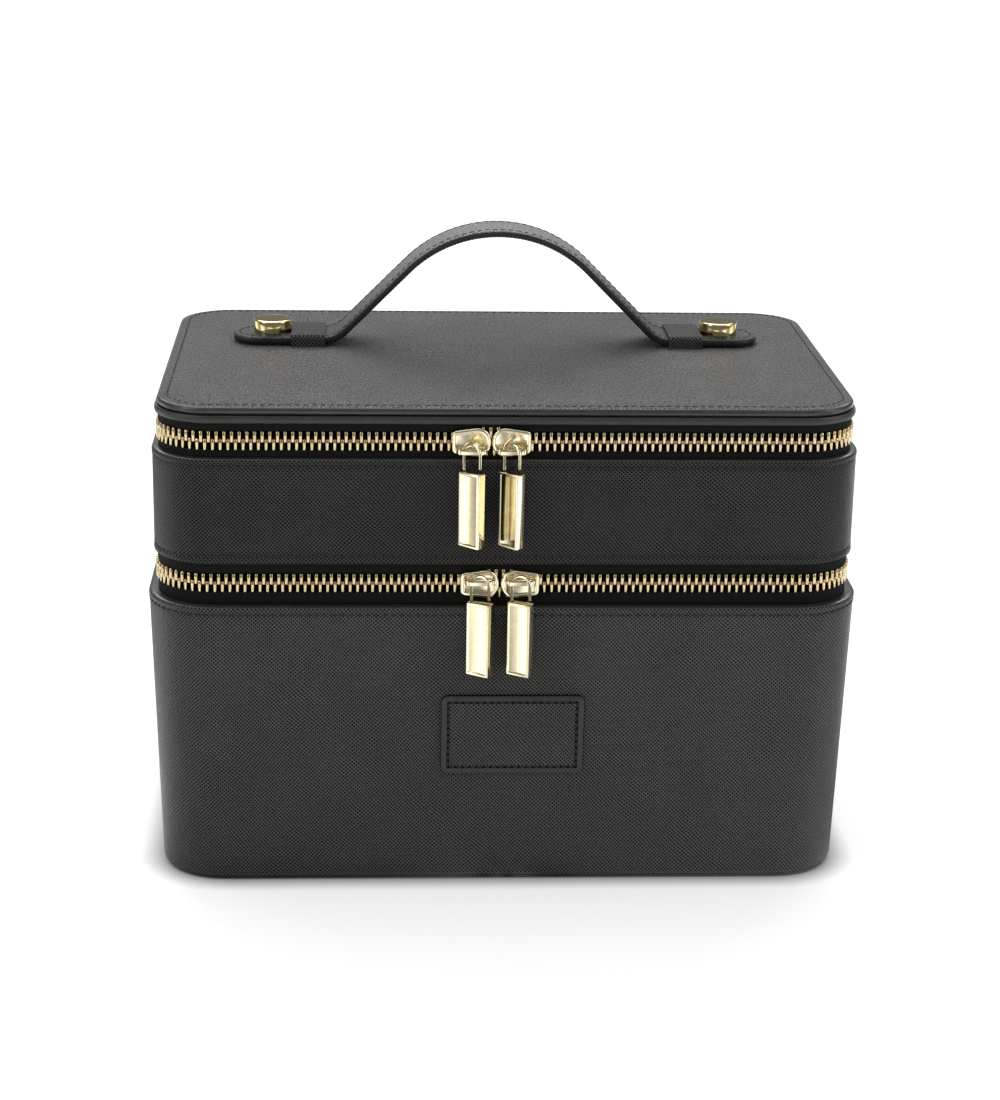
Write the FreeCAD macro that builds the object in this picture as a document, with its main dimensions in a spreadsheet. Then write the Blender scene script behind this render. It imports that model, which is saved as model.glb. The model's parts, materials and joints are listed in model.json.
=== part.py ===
import FreeCAD, Part
import math
import os
import Sketcher

# Two-tier makeup train case, in millimetres.
# The origin is the middle of the underside, +X to the right, +Y to the back, +Z up.
# Both tiers are leather over board with a cloth lining. A zip with two sliders joins
# the lower case to the upper tray, a second one joins the tray to the lid, and a strip
# along the back of each zip is the hinge. The handle strap slides through two keepers.

SIZES = (
    # Outside of the case
    ("case_width", 230.0),
    ("case_depth", 150.0),
    ("wall_taper", 2.5),
    ("corner_radius", 22.0),
    ("lower_top", 95.6),
    ("tier_gap", 13.6),
    ("upper_height", 34.6),
    ("lid_gap", 13.6),
    ("lid_thickness", 2.6),
    # Plies of the walls, floors and lid
    ("leather", 0.9),
    ("ply_gap", 0.1),
    ("lower_board", 1.8),
    ("upper_board", 0.9),
    ("lining", 0.5),
    ("rim_turn", 1.0),
    ("base_height", 1.2),
    ("base_inset", 1.0),
    ("floor_board", 2.0),
    ("panel_setback", 0.8),
    # Front patch
    ("patch_width", 46.3),
    ("patch_height", 27.3),
    ("patch_thickness", 1.0),
    ("patch_corner", 2.5),
    ("patch_centre", 52.0),
    ("patch_shift", 2.5),
    # Mirror inside the lid
    ("mirror_width", 150.0),
    ("mirror_depth", 92.0),
    ("mirror_thickness", 1.8),
    ("frame_border", 7.0),
    ("frame_lap", 2.0),
    ("frame_lip", 0.8),
    # Zip tapes, teeth and hinge strips
    ("tape_thickness", 0.6),
    ("tape_seam", 7.0),
    ("tier_zip_rise", 7.3),
    ("tooth_pitch", 2.375),
    ("tooth_width", 0.95),
    ("tooth_depth", 2.0),
    ("tooth_reach", 3.0),
    ("tooth_lap", 0.3),
    ("tooth_seat", 0.05),
    ("hinge_width", 184.0),
    ("hinge_clear", 0.4),
    # Sliders
    ("slider_length", 12.2),
    ("slider_plate", 0.9),
    ("slider_flange", 0.4),
    ("slider_slot", 0.9),
    ("channel_clear", 0.15),
    ("slider_room", 0.25),
    ("part_height", 1.7),
    ("throat_start", 1.5),
    ("throat_end", 2.0),
    ("nose_chamfer", 1.4),
    ("post_start", 3.0),
    ("post_length", 2.2),
    ("post_half", 1.2),
    ("bridge_rise", 3.2),
    ("bridge_bar", 1.3),
    ("bridge_span", 9.8),
    ("tier_bridge_lift", 1.5),
    ("lid_bridge_lift", -2.2),
    ("tier_slider_left", -8.8),
    ("tier_slider_right", 4.1),
    ("lid_slider_left", -11.9),
    ("lid_slider_right", 0.6),
    # Pulls
    ("bail_width", 7.5),
    ("bail_wire", 1.1),
    ("bail_drop", 5.5),
    ("bail_crown", 2.65),
    ("pull_width", 8.0),
    ("pull_thickness", 3.6),
    ("pull_length", 24.3),
    ("pull_bevel", 0.5),
    ("pull_rim", 1.0),
    ("pull_recess", 0.4),
    ("pull_seat", 0.1),
    ("tier_left_twist", 32.0),
    ("tier_right_twist", 31.0),
    ("lid_left_twist", 40.0),
    ("lid_right_twist", 45.0),
    ("pull_tilt", 17.0),
    # Handle strap, keepers and studs
    ("strap_width", 19.6),
    ("strap_thickness", 2.8),
    ("strap_clear", 0.2),
    ("strap_lead", 2.0),
    ("handle_rise", 37.4),
    ("handle_back", 22.0),
    ("leg_angle", 45.0),
    ("bend_radius", 4.0),
    ("tab_end", 90.6),
    ("keeper_centre", 64.8),
    ("keeper_length", 11.6),
    ("keeper_leather", 1.1),
    ("stud_centre", 77.2),
    ("stud_radius", 6.45),
    ("stud_height", 4.6),
    ("stud_dish", 0.5),
    ("stud_rim", 0.9),
)

DERIVED = (
    # Plies, counted inwards from the outer faces
    ("base_width", "Sizes.case_width - 2 * Sizes.wall_taper"),
    ("base_depth", "Sizes.case_depth - 2 * Sizes.wall_taper"),
    ("wall_slope", "Sizes.wall_taper / (Sizes.lower_top - Sizes.base_height)"),
    ("lower_plies", "Sizes.leather + Sizes.ply_gap + Sizes.lower_board"),
    ("upper_plies", "Sizes.leather + Sizes.ply_gap + Sizes.upper_board"),
    ("tier_tape_inset", "lower_plies + Sizes.ply_gap + wall_slope * Sizes.tape_seam"),
    ("tier_step", "tier_tape_inset - Sizes.leather - Sizes.ply_gap"),
    ("lid_tape_inset", "upper_plies + Sizes.ply_gap"),
    ("band_inset", "lid_tape_inset - Sizes.ply_gap - Sizes.leather"),
    ("panel_inset", "band_inset + Sizes.panel_setback"),
    ("inside_inset", "lid_tape_inset + Sizes.tape_thickness + Sizes.ply_gap"),
    # Upper tier and lid
    ("upper_width", "Sizes.case_width - 2 * tier_step"),
    ("upper_depth", "Sizes.case_depth - 2 * tier_step"),
    ("upper_radius", "Sizes.corner_radius - tier_step"),
    ("upper_bottom", "Sizes.lower_top + Sizes.tier_gap"),
    ("upper_top", "upper_bottom + Sizes.upper_height"),
    ("lid_under", "upper_top + Sizes.lid_gap"),
    ("lid_top", "lid_under + Sizes.lid_thickness"),
    ("tray_floor", "upper_bottom + Sizes.tape_seam + 2 * Sizes.ply_gap"),
    ("mirror_top", "lid_under - 2 * Sizes.ply_gap - Sizes.lining"),
    # Zips, with room above and below the sliders of the lid's zip
    ("tail_half", "Sizes.tooth_reach + Sizes.channel_clear + Sizes.slider_flange"),
    ("nose_half", "tail_half + Sizes.part_height"),
    ("slider_space", "nose_half + Sizes.slider_room"),
    ("tier_zip", "Sizes.lower_top + Sizes.tier_zip_rise"),
    ("lid_zip", "upper_top + slider_space"),
    ("band_height", "Sizes.lid_gap - 2 * slider_space"),
    ("tape_edge", "Sizes.tooth_reach + Sizes.tooth_seat"),
    ("tier_chain_inset", "tier_tape_inset + Sizes.tape_thickness / 2"),
    ("lid_chain_inset", "tier_step + lid_tape_inset + Sizes.tape_thickness / 2"),
    # Sliders and pulls
    ("slider_depth", "Sizes.tooth_depth + 2 * Sizes.channel_clear + 2 * Sizes.slider_plate"),
    ("bridge_axis", "slider_depth / 2 + Sizes.bridge_rise"),
    ("foot_drop", "Sizes.bail_drop * cos(Sizes.pull_tilt * 1deg)"),
    ("pull_reach", "Sizes.bail_drop * sin(Sizes.pull_tilt * 1deg)"),
    # Handle
    ("strap_low", "lid_top + Sizes.strap_clear"),
    ("strap_centre", "strap_low + Sizes.strap_thickness / 2"),
    ("handle_reach", "Sizes.keeper_centre - Sizes.keeper_length / 2 - Sizes.strap_lead"),
    ("leg_cosine", "cos(Sizes.leg_angle * 1deg)"),
    ("leg_sine", "sin(Sizes.leg_angle * 1deg)"),
    ("both_bends", "(leg_sine * handle_reach - leg_cosine * Sizes.handle_rise) / (1 - leg_cosine)"),
    ("crown_radius", "both_bends - Sizes.bend_radius"),
    ("crown_low", "strap_centre + Sizes.handle_rise - crown_radius"),
)

doc = FreeCAD.newDocument("makeup_train_case")


def fill_sheet(name, rows, mark=""):
    """Makes a sheet with one named cell per row; mark goes before each value."""
    sheet = doc.addObject("Spreadsheet::Sheet", name)
    for row, (alias, value) in enumerate(rows, start=1):
        sheet.set(f"A{row}", alias)
        sheet.set(f"B{row}", f"{mark}{value}")
        sheet.setAlias(f"B{row}", alias)
    doc.recompute()
    return sheet


fill_sheet("Sizes", SIZES)
derived = fill_sheet("Derived", DERIVED, mark="=")


def number(expression):
    """The value of an expression over the two sheets."""
    result = derived.evalExpression(str(expression))
    return float(getattr(result, "Value", result))


def new_body(label):
    """An empty body whose label names its file."""
    body = doc.addObject("PartDesign::Body", label)
    body.Label = label
    return body


def new_sketch(body, name, role, lift="0"):
    """A sketch on one of the body's own origin planes, lifted along the plane's normal."""
    sketch = body.newObject("Sketcher::SketchObject", name)
    plane = [item for item in body.Origin.OriginFeatures if item.Role == role][0]
    sketch.AttachmentSupport = [(plane, "")]
    sketch.MapMode = "FlatFace"
    sketch.setExpression("AttachmentOffset.Base.z", str(lift))
    return sketch


def drive(sketch, constraint, name, expression):
    """Adds a dimension to the sketch and binds it to an expression."""
    index = sketch.addConstraint(constraint)
    sketch.renameConstraint(index, name)
    sketch.setExpression(f"Constraints.{name}", str(expression))


def rounded_loop(sketch, name, width, depth, radius):
    """A rounded rectangle centred on the sketch's origin."""
    a = number(width) / 2
    b = number(depth) / 2
    r = number(radius)
    up = FreeCAD.Vector(0, 0, 1)
    first = sketch.GeometryCount
    corners = ((a, -b), (a, b), (-a, b), (-a, -b))
    starts = ((-a + r, -b), (a, -b + r), (a - r, b), (-a, b - r))
    ends = ((a - r, -b), (a, b - r), (-a + r, b), (-a, -b + r))
    for side in range(4):
        line = Part.LineSegment(FreeCAD.Vector(*starts[side], 0), FreeCAD.Vector(*ends[side], 0))
        sketch.addGeometry(line, False)
        x, y = corners[side]
        centre = FreeCAD.Vector(x - math.copysign(r, x), y - math.copysign(r, y), 0)
        turn = math.pi / 2 * (side - 1)
        arc = Part.ArcOfCircle(Part.Circle(centre, up, r), turn, turn + math.pi / 2)
        sketch.addGeometry(arc, False)
    for step in range(8):
        following = first + (step + 1) % 8
        sketch.addConstraint(Sketcher.Constraint("Tangent", first + step, 2, following, 1))
    for side in (0, 4):
        sketch.addConstraint(Sketcher.Constraint("Horizontal", first + side))
        sketch.addConstraint(Sketcher.Constraint("Vertical", first + side + 2))
    for corner in (3, 5, 7):
        sketch.addConstraint(Sketcher.Constraint("Equal", first + 1, first + corner))
    sketch.addConstraint(Sketcher.Constraint("Symmetric", first + 1, 3, first + 5, 3, -1, 1))
    drive(sketch, Sketcher.Constraint("DistanceX", first + 6, 1, first + 2, 1, 2 * a), f"{name}_width", width)
    drive(sketch, Sketcher.Constraint("DistanceY", first, 1, first + 4, 1, 2 * b), f"{name}_depth", depth)
    drive(sketch, Sketcher.Constraint("Radius", first + 1, r), f"{name}_radius", radius)


def polygon_loop(sketch, name, points):
    """A closed polygon; each point is a pair of expressions."""
    first = sketch.GeometryCount
    count = len(points)
    places = [FreeCAD.Vector(number(x), number(y), 0) for x, y in points]
    for step in range(count):
        line = Part.LineSegment(places[step], places[(step + 1) % count])
        sketch.addGeometry(line, False)
    for step in range(count):
        following = first + (step + 1) % count
        sketch.addConstraint(Sketcher.Constraint("Coincident", first + step, 2, following, 1))
    for step, (x, y) in enumerate(points):
        for kind, axis, expression, value in (
            ("DistanceX", -2, x, places[step].x),
            ("DistanceY", -1, y, places[step].y),
        ):
            if abs(value) < 1e-9:
                sketch.addConstraint(Sketcher.Constraint("PointOnObject", first + step, 1, axis))
            else:
                limit = Sketcher.Constraint(kind, -1, 1, first + step, 1, value)
                drive(sketch, limit, f"{name}_{kind[-1].lower()}_{step}", expression)


def rectangle_loop(sketch, name, width, depth):
    """A plain rectangle centred on the sketch's origin."""
    x = f"({width}) / 2"
    y = f"({depth}) / 2"
    polygon_loop(sketch, name, ((f"-({x})", f"-({y})"), (x, f"-({y})"), (x, y), (f"-({x})", y)))


def extrude(body, kind, name, sketch, length, symmetric=False, reverse=False):
    """Pads or pockets a sketch of the body by a length."""
    feature = body.newObject(f"PartDesign::{kind}", name)
    feature.Profile = sketch
    feature.SideType = "Symmetric" if symmetric else "One side"
    feature.Reversed = reverse
    feature.setExpression("Length", str(length))
    return feature


def check_cut(body, feature):
    """Makes sure that a pocket took material away."""
    doc.recompute()
    before = feature.BaseFeature.Shape.Volume
    if body.Shape.Volume > before - 1e-6:
        raise ValueError(f"{feature.Label} of {body.Label} cuts nothing")


def place(body, x, y, z):
    """Binds the body's place to three expressions."""
    body.setExpression("Placement.Base.x", str(x))
    body.setExpression("Placement.Base.y", str(y))
    body.setExpression("Placement.Base.z", str(z))


def inset(width, depth, radius, amount):
    """A rounded outline brought in by an amount on every side."""
    return (f"{width} - 2 * ({amount})", f"{depth} - 2 * ({amount})", f"{radius} - ({amount})")


def lower_outline(height, amount):
    """The tapered lower case's outline at a height, brought in by an amount."""
    share = f"(({height}) - Sizes.base_height) / (Sizes.lower_top - Sizes.base_height)"
    width = f"(Derived.base_width + 2 * Sizes.wall_taper * {share})"
    depth = f"(Derived.base_depth + 2 * Sizes.wall_taper * {share})"
    return inset(width, depth, "Sizes.corner_radius", amount)


def upper_outline(amount):
    """The straight upper tier's outline, brought in by an amount."""
    return inset("Derived.upper_width", "Derived.upper_depth", "Derived.upper_radius", amount)


def plate(label, outline, low, thickness):
    """A flat rounded plate from a height upwards."""
    body = new_body(label)
    sketch = new_sketch(body, f"{label}_outline", "XY_Plane", low)
    rounded_loop(sketch, "plate", *outline)
    extrude(body, "Pad", f"{label}_pad", sketch, thickness)
    return body


def clipped_plate(label, outline, low, thickness):
    """A flat board from a height upwards, its corners cut straight to clear the rounded walls."""
    width, depth, radius = (f"({item})" for item in outline)
    body = new_body(label)
    sketch = new_sketch(body, f"{label}_outline", "XY_Plane", low)
    far_x = f"({width} / 2)"
    far_y = f"({depth} / 2)"
    near_x = f"({far_x} - {radius})"
    near_y = f"({far_y} - {radius})"
    polygon_loop(sketch, "board", (
        ("-" + near_x, "-" + far_y), (near_x, "-" + far_y), (far_x, "-" + near_y), (far_x, near_y),
        (near_x, far_y), ("-" + near_x, far_y), ("-" + far_x, near_y), ("-" + far_x, "-" + near_y),
    ))
    extrude(body, "Pad", f"{label}_pad", sketch, thickness)
    return body


def wall_boards(label, outline, low, height, thickness, lean):
    """Four flat boards behind the straight runs of a tier's wall, leaning with it.

    The outline is that of the boards' outer faces at their foot.
    """
    width, depth, radius = (number(item) for item in outline)
    foot = number(low)
    tall = number(height)
    thick = number(thickness)
    tilt = math.degrees(math.atan(number(lean)))
    boards = []
    for quarter in range(4):
        turn = 90 * quarter
        reach, across = (depth, width) if quarter % 2 == 0 else (width, depth)
        run = across - 2 * radius
        board = Part.makeBox(run, thick, tall, FreeCAD.Vector(-run / 2, 0, 0))
        leaning = FreeCAD.Rotation(FreeCAD.Vector(1, 0, 0), tilt)
        facing = FreeCAD.Rotation(FreeCAD.Vector(0, 0, 1), turn)
        place_out = facing.multVec(FreeCAD.Vector(0, -reach / 2, 0)) + FreeCAD.Vector(0, 0, foot)
        board.Placement = FreeCAD.Placement(place_out, facing * leaning)
        boards.append(board)
    group = doc.addObject("Part::Feature", label)
    group.Label = label
    group.Shape = Part.makeCompound(boards)
    return group


def straight_ring(label, outer, inner, low, height):
    """A ring with upright walls between two rounded outlines."""
    body = new_body(label)
    sketch = new_sketch(body, f"{label}_outline", "XY_Plane", low)
    rounded_loop(sketch, "outer", *outer)
    rounded_loop(sketch, "inner", *inner)
    extrude(body, "Pad", f"{label}_pad", sketch, height)
    return body


def tapered_loft(body, kind, name, low, high, amount):
    """A loft of the lower case's outline between two heights."""
    ends = []
    for end, height in (("low", low), ("high", high)):
        sketch = new_sketch(body, f"{name}_{end}", "XY_Plane", height)
        rounded_loop(sketch, end, *lower_outline(height, amount))
        ends.append(sketch)
    loft = body.newObject(f"PartDesign::{kind}", name)
    loft.Profile = ends[0]
    loft.Sections = [ends[1]]
    loft.Ruled = True
    return loft


def tapered_ring(label, low, high, outer_inset, inner_inset):
    """A ply of the lower wall, which leans out towards the top."""
    body = new_body(label)
    tapered_loft(body, "AdditiveLoft", f"{label}_outside", low, high, outer_inset)
    hollow = tapered_loft(body, "SubtractiveLoft", f"{label}_inside", low, high, inner_inset)
    check_cut(body, hollow)
    return body


def lower_wall_leather():
    """The lower cover: a leaning wall whose top edge is turned in over the board."""
    label = "lower_wall_leather"
    body = new_body(label)
    low = "Sizes.base_height"
    rim = "Sizes.lower_top - Sizes.rim_turn"
    tapered_loft(body, "AdditiveLoft", "cover_outside", low, "Sizes.lower_top", "0")
    check_cut(body, tapered_loft(body, "SubtractiveLoft", "cover_inside", low, rim, "Sizes.leather"))
    mouth = new_sketch(body, "cover_mouth", "XY_Plane", "Sizes.lower_top")
    rounded_loop(mouth, "mouth", *lower_outline("Sizes.lower_top", "Derived.lower_plies"))
    check_cut(body, extrude(body, "Pocket", "cover_rim", mouth, "Sizes.rim_turn"))
    return body


def lower_case():
    """The lower case's cover, board, lining, base and patch."""
    gap = "Sizes.ply_gap"
    floor_low = f"Sizes.base_height + {gap}"
    floor_lining = f"{floor_low} + Sizes.floor_board + {gap}"
    floor_top = f"{floor_lining} + Sizes.lining"
    lining_in = f"Derived.lower_plies + {gap}"
    base = lower_outline("Sizes.base_height", "Sizes.base_inset")
    board_low = f"Sizes.base_height + 2 * {gap}"
    floor = lower_outline(floor_low, f"Derived.lower_plies + {gap}")
    return [
        lower_wall_leather(),
        wall_boards("lower_wall_board", lower_outline(board_low, f"Sizes.leather + {gap}"), board_low,
                    f"Sizes.lower_top - Sizes.rim_turn - {gap} - ({board_low})", "Sizes.lower_board",
                    "Derived.wall_slope"),
        tapered_ring("lower_lining", f"{floor_top} + {gap}",
                     f"Sizes.lower_top - Sizes.tape_seam - {gap}",
                     lining_in, f"{lining_in} + Sizes.lining"),
        plate("base_panel", base, "0", "Sizes.base_height"),
        clipped_plate("base_board", floor, floor_low, "Sizes.floor_board"),
        plate("lower_floor_lining", floor, floor_lining, "Sizes.lining"),
        front_patch(),
    ]


def front_patch():
    """A blank leather patch that lies on the leaning front wall."""
    label = "front_patch"
    body = new_body(label)
    sketch = new_sketch(body, "patch_outline", "XZ_Plane")
    rounded_loop(sketch, "patch", "Sizes.patch_width", "Sizes.patch_height", "Sizes.patch_corner")
    extrude(body, "Pad", "patch_pad", sketch, "Sizes.patch_thickness")
    lean = math.degrees(math.atan(number("Derived.wall_slope")))
    body.Placement.Rotation = FreeCAD.Rotation(FreeCAD.Vector(1, 0, 0), lean)
    depth = lower_outline("Sizes.patch_centre", "-Sizes.ply_gap")[1]
    place(body, "Sizes.patch_shift", f"-({depth}) / 2", "Sizes.patch_centre")
    return body


def upper_tier():
    """The upper tray's cover, board, lining and floor."""
    gap = "Sizes.ply_gap"
    leather_in = f"Sizes.leather + {gap}"
    lining_in = f"Derived.upper_plies + {gap}"
    floor_low = "Derived.tray_floor"
    floor_lining = f"{floor_low} + Sizes.floor_board + {gap}"
    wall_low = f"{floor_lining} + Sizes.lining + {gap}"
    rim = "Derived.upper_top - Sizes.rim_turn"
    floor = upper_outline(f"{lining_in}")
    cover = new_body("upper_wall_leather")
    outside = new_sketch(cover, "tray_outside", "XY_Plane", "Derived.upper_bottom")
    rounded_loop(outside, "outside", *upper_outline("0"))
    extrude(cover, "Pad", "tray_wall", outside, "Sizes.upper_height")
    inside = new_sketch(cover, "tray_inside", "XY_Plane", "Derived.upper_bottom")
    rounded_loop(inside, "inside", *upper_outline("Sizes.leather"))
    hollow = extrude(cover, "Pocket", "tray_hollow", inside,
                     "Sizes.upper_height - Sizes.rim_turn", reverse=True)
    check_cut(cover, hollow)
    mouth = new_sketch(cover, "tray_mouth", "XY_Plane", "Derived.upper_top")
    rounded_loop(mouth, "mouth", *upper_outline("Derived.upper_plies"))
    check_cut(cover, extrude(cover, "Pocket", "tray_rim", mouth, "Sizes.rim_turn"))
    return [
        cover,
        wall_boards("upper_wall_board", upper_outline(leather_in), floor_low,
                    f"{rim} - {gap} - {floor_low}", "Sizes.upper_board", "0"),
        straight_ring("upper_lining", upper_outline(lining_in), upper_outline(f"{lining_in} + Sizes.lining"),
                      wall_low, f"Derived.upper_top - Sizes.tape_seam - {gap} - ({wall_low})"),
        clipped_plate("tray_board", floor, floor_low, "Sizes.floor_board"),
        plate("tray_floor_lining", floor, floor_lining, "Sizes.lining"),
        plate("tray_underside", floor, f"{floor_low} - {gap} - Sizes.lining", "Sizes.lining"),
    ]


def lid():
    """The lid's skin, board, rim band, lining, mirror and mirror frame."""
    gap = "Sizes.ply_gap"
    skin = new_body("lid_leather")
    outline = new_sketch(skin, "lid_outline", "XY_Plane", "Derived.lid_under")
    rounded_loop(outline, "panel", *upper_outline("Derived.panel_inset"))
    extrude(skin, "Pad", "lid_panel", outline, "Sizes.lid_thickness")
    seat = new_sketch(skin, "lid_seat", "XY_Plane", "Derived.lid_under")
    rounded_loop(seat, "seat", *upper_outline("Derived.panel_inset + Sizes.leather"))
    hollow = extrude(skin, "Pocket", "lid_hollow", seat, "Sizes.lid_thickness - Sizes.leather", reverse=True)
    check_cut(skin, hollow)
    board = clipped_plate("lid_board", upper_outline(f"Derived.panel_inset + Sizes.leather + {gap}"),
                          "Derived.lid_under", f"Sizes.lid_thickness - Sizes.leather - {gap}")
    band = straight_ring("lid_rim_band", upper_outline("Derived.band_inset"),
                         upper_outline("Derived.band_inset + Sizes.leather"),
                         "Derived.lid_under - Derived.band_height", f"Derived.band_height - {gap}")
    lining = plate("lid_lining", upper_outline("Derived.inside_inset"),
                   f"Derived.lid_under - {gap} - Sizes.lining", "Sizes.lining")
    mirror = new_body("lid_mirror")
    glass = new_sketch(mirror, "mirror_outline", "XY_Plane", "Derived.mirror_top")
    rectangle_loop(glass, "glass", "Sizes.mirror_width", "Sizes.mirror_depth")
    extrude(mirror, "Pad", "mirror_pad", glass, "Sizes.mirror_thickness", reverse=True)
    return [skin, board, band, lining, mirror, mirror_frame()]


def mirror_frame():
    """A leather frame with a rebate that holds the mirror against the lid lining."""
    body = new_body("mirror_frame")
    rebate = "(Sizes.mirror_thickness + Sizes.ply_gap)"
    through = f"{rebate} + Sizes.frame_lip"
    for name, kind, margin, depth in (
        ("frame", "Pad", "Sizes.frame_border", through),
        ("rebate", "Pocket", "Sizes.ply_gap", rebate),
        ("window", "Pocket", "-Sizes.frame_lap", through),
    ):
        sketch = new_sketch(body, f"{name}_outline", "XY_Plane", "Derived.mirror_top")
        rectangle_loop(sketch, name, f"Sizes.mirror_width + 2 * ({margin})",
                       f"Sizes.mirror_depth + 2 * ({margin})")
        feature = extrude(body, kind, f"{name}_{kind.lower()}", sketch, depth, reverse=kind == "Pad")
        if kind == "Pocket":
            check_cut(body, feature)
    return body


def zip_tape(label, inset_outside, low, height, edge, notch_middle, notch_half):
    """Half of a zip's tape: a band round the case, open at the hinge.

    The edge that carries the teeth steps back where the two rows part at the sliders.
    """
    body = new_body(label)
    band = new_sketch(body, f"{label}_band", "XY_Plane", low)
    rounded_loop(band, "outer", *inset("Sizes.case_width", "Sizes.case_depth", "Sizes.corner_radius",
                                       inset_outside))
    rounded_loop(band, "inner", *inset("Sizes.case_width", "Sizes.case_depth", "Sizes.corner_radius",
                                       f"{inset_outside} + Sizes.tape_thickness"))
    extrude(body, "Pad", f"{label}_pad", band, height)
    opening = new_sketch(body, f"{label}_opening", "XY_Plane", low)
    half = "(Sizes.hinge_width / 2)"
    polygon_loop(opening, "opening", ((f"-{half}", "0"), (half, "0"),
                                      (half, "Sizes.case_depth"), (f"-{half}", "Sizes.case_depth")))
    check_cut(body, extrude(body, "Pocket", f"{label}_back", opening, height, reverse=True))
    notch = new_sketch(body, f"{label}_notch", "XZ_Plane")
    left = f"({notch_middle}) - ({notch_half})"
    right = f"({notch_middle}) + ({notch_half})"
    depth_end = f"({edge[0]}) + ({edge[1]}) * Sizes.part_height"
    polygon_loop(notch, "notch", ((left, edge[0]), (right, edge[0]), (right, depth_end), (left, depth_end)))
    check_cut(body, extrude(body, "Pocket", f"{label}_step", notch, "Sizes.case_depth", reverse=True))
    return body


def along_path(distance, width, depth, radius):
    """The place and heading on a rounded outline, a signed distance from the front's middle."""
    side = math.copysign(1.0, distance)
    left = abs(distance)
    quarter = math.pi / 2 * radius
    runs = (width / 2 - radius, quarter, depth - 2 * radius, quarter)
    x, y, turn = 0.0, -depth / 2, 0.0
    for index, run in enumerate(runs):
        step = min(left, run)
        if index % 2:
            angle = step / radius
            x += radius * (math.sin(turn + angle) - math.sin(turn))
            y += radius * (math.cos(turn) - math.cos(turn + angle))
            turn += angle
        else:
            x += step * math.cos(turn)
            y += step * math.sin(turn)
        left -= step
    x += left * math.cos(turn)
    y += left * math.sin(turn)
    return side * x, y, side * turn


def parting(x, sliders):
    """How far each row stands off its closed place, where the rows part between two sliders."""
    start = number("Sizes.tooth_width / 2 + Sizes.tooth_seat - Sizes.throat_start")
    run = number("Sizes.throat_start + Sizes.throat_end")
    inside = min(x - sliders[0], sliders[1] - x)
    share = min(max((inside - start) / run, 0.0), 1.0)
    return share * number("Sizes.part_height")


def zip_teeth(label, chain_inset, height, upwards, sliders):
    """One row of a zip's teeth, set along the tape half a pitch off the facing row.

    A tooth is a wedge, thick where it grips the tape and thin at the head, which laps the
    heads of the facing row.
    """
    outline = [number(item) for item in inset("Sizes.case_width", "Sizes.case_depth",
                                              "Sizes.corner_radius", chain_inset)]
    width, depth, radius = outline
    pitch = number("Sizes.tooth_pitch")
    tooth = [number(f"Sizes.tooth_{part}") for part in ("width", "depth", "reach", "lap")]
    half_way = width / 2 - radius + math.pi * radius + depth - 2 * radius
    half_way += width / 2 - radius - number("Sizes.hinge_width / 2 + Sizes.tooth_width")
    middle = number(height)
    stations = [number(item) for item in sliders]
    tooth_width, tooth_depth, reach, lap = tooth
    way = 1 if upwards else -1
    corners = [FreeCAD.Vector(-tooth_width / 2, y, way * z)
               for y, z in ((-tooth_depth / 2, reach), (tooth_depth / 2, reach), (0, -lap))]
    profile = Part.Face(Part.makePolygon(corners + corners[:1]))
    wedge = profile.extrude(FreeCAD.Vector(tooth_width, 0, 0))
    count = int(half_way / pitch)
    shift = 0.5 if upwards else 0.0
    blocks = []
    for index in range(-count, count):
        distance = (index + shift) * pitch
        x, y, turn = along_path(distance, width, depth, radius)
        lift = parting(x, stations) if y < -depth / 2 + radius else 0.0
        copy = wedge.copy()
        spin = FreeCAD.Rotation(FreeCAD.Vector(0, 0, 1), math.degrees(turn))
        copy.Placement = FreeCAD.Placement(FreeCAD.Vector(x, y, middle + way * lift), spin)
        blocks.append(copy)
    row = doc.addObject("Part::Feature", label)
    row.Label = label
    row.Shape = Part.makeCompound(blocks)
    return row


def zip_halves(name, tape_inset, chain_inset, height, low_seam, high_seam):
    """Both tapes and both rows of teeth of a zip."""
    sliders = (f"Sizes.{name}_slider_left", f"Sizes.{name}_slider_right")
    middle = f"({sliders[0]} + {sliders[1]}) / 2"
    half = f"({sliders[1]} - {sliders[0]}) / 2 + Sizes.throat_start + Sizes.tooth_width"
    lower_edge = f"{height} - Derived.tape_edge"
    upper_edge = f"{height} + Derived.tape_edge"
    return [
        zip_tape(f"{name}_zip_lower_tape", tape_inset, low_seam, f"{lower_edge} - ({low_seam})",
                 (lower_edge, "-1"), middle, half),
        zip_teeth(f"{name}_zip_lower_teeth", chain_inset, height, False, sliders),
        zip_tape(f"{name}_zip_upper_tape", tape_inset, upper_edge, f"{high_seam} - ({upper_edge})",
                 (upper_edge, "1"), middle, half),
        zip_teeth(f"{name}_zip_upper_teeth", chain_inset, height, True, sliders),
    ]


def hinge_strip(label, inset_outside, low, high):
    """A leather strip along the back that joins two tiers and folds as they open."""
    body = new_body(label)
    sketch = new_sketch(body, f"{label}_outline", "XY_Plane", low)
    half = "(Sizes.hinge_width / 2 - Sizes.hinge_clear)"
    back = f"(Sizes.case_depth / 2 - ({inset_outside}))"
    front = f"({back} - Sizes.tape_thickness)"
    polygon_loop(sketch, "strip", ((f"-{half}", front), (half, front), (half, back), (f"-{half}", back)))
    extrude(body, "Pad", f"{label}_pad", sketch, f"{high} - ({low})")
    return body


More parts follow.
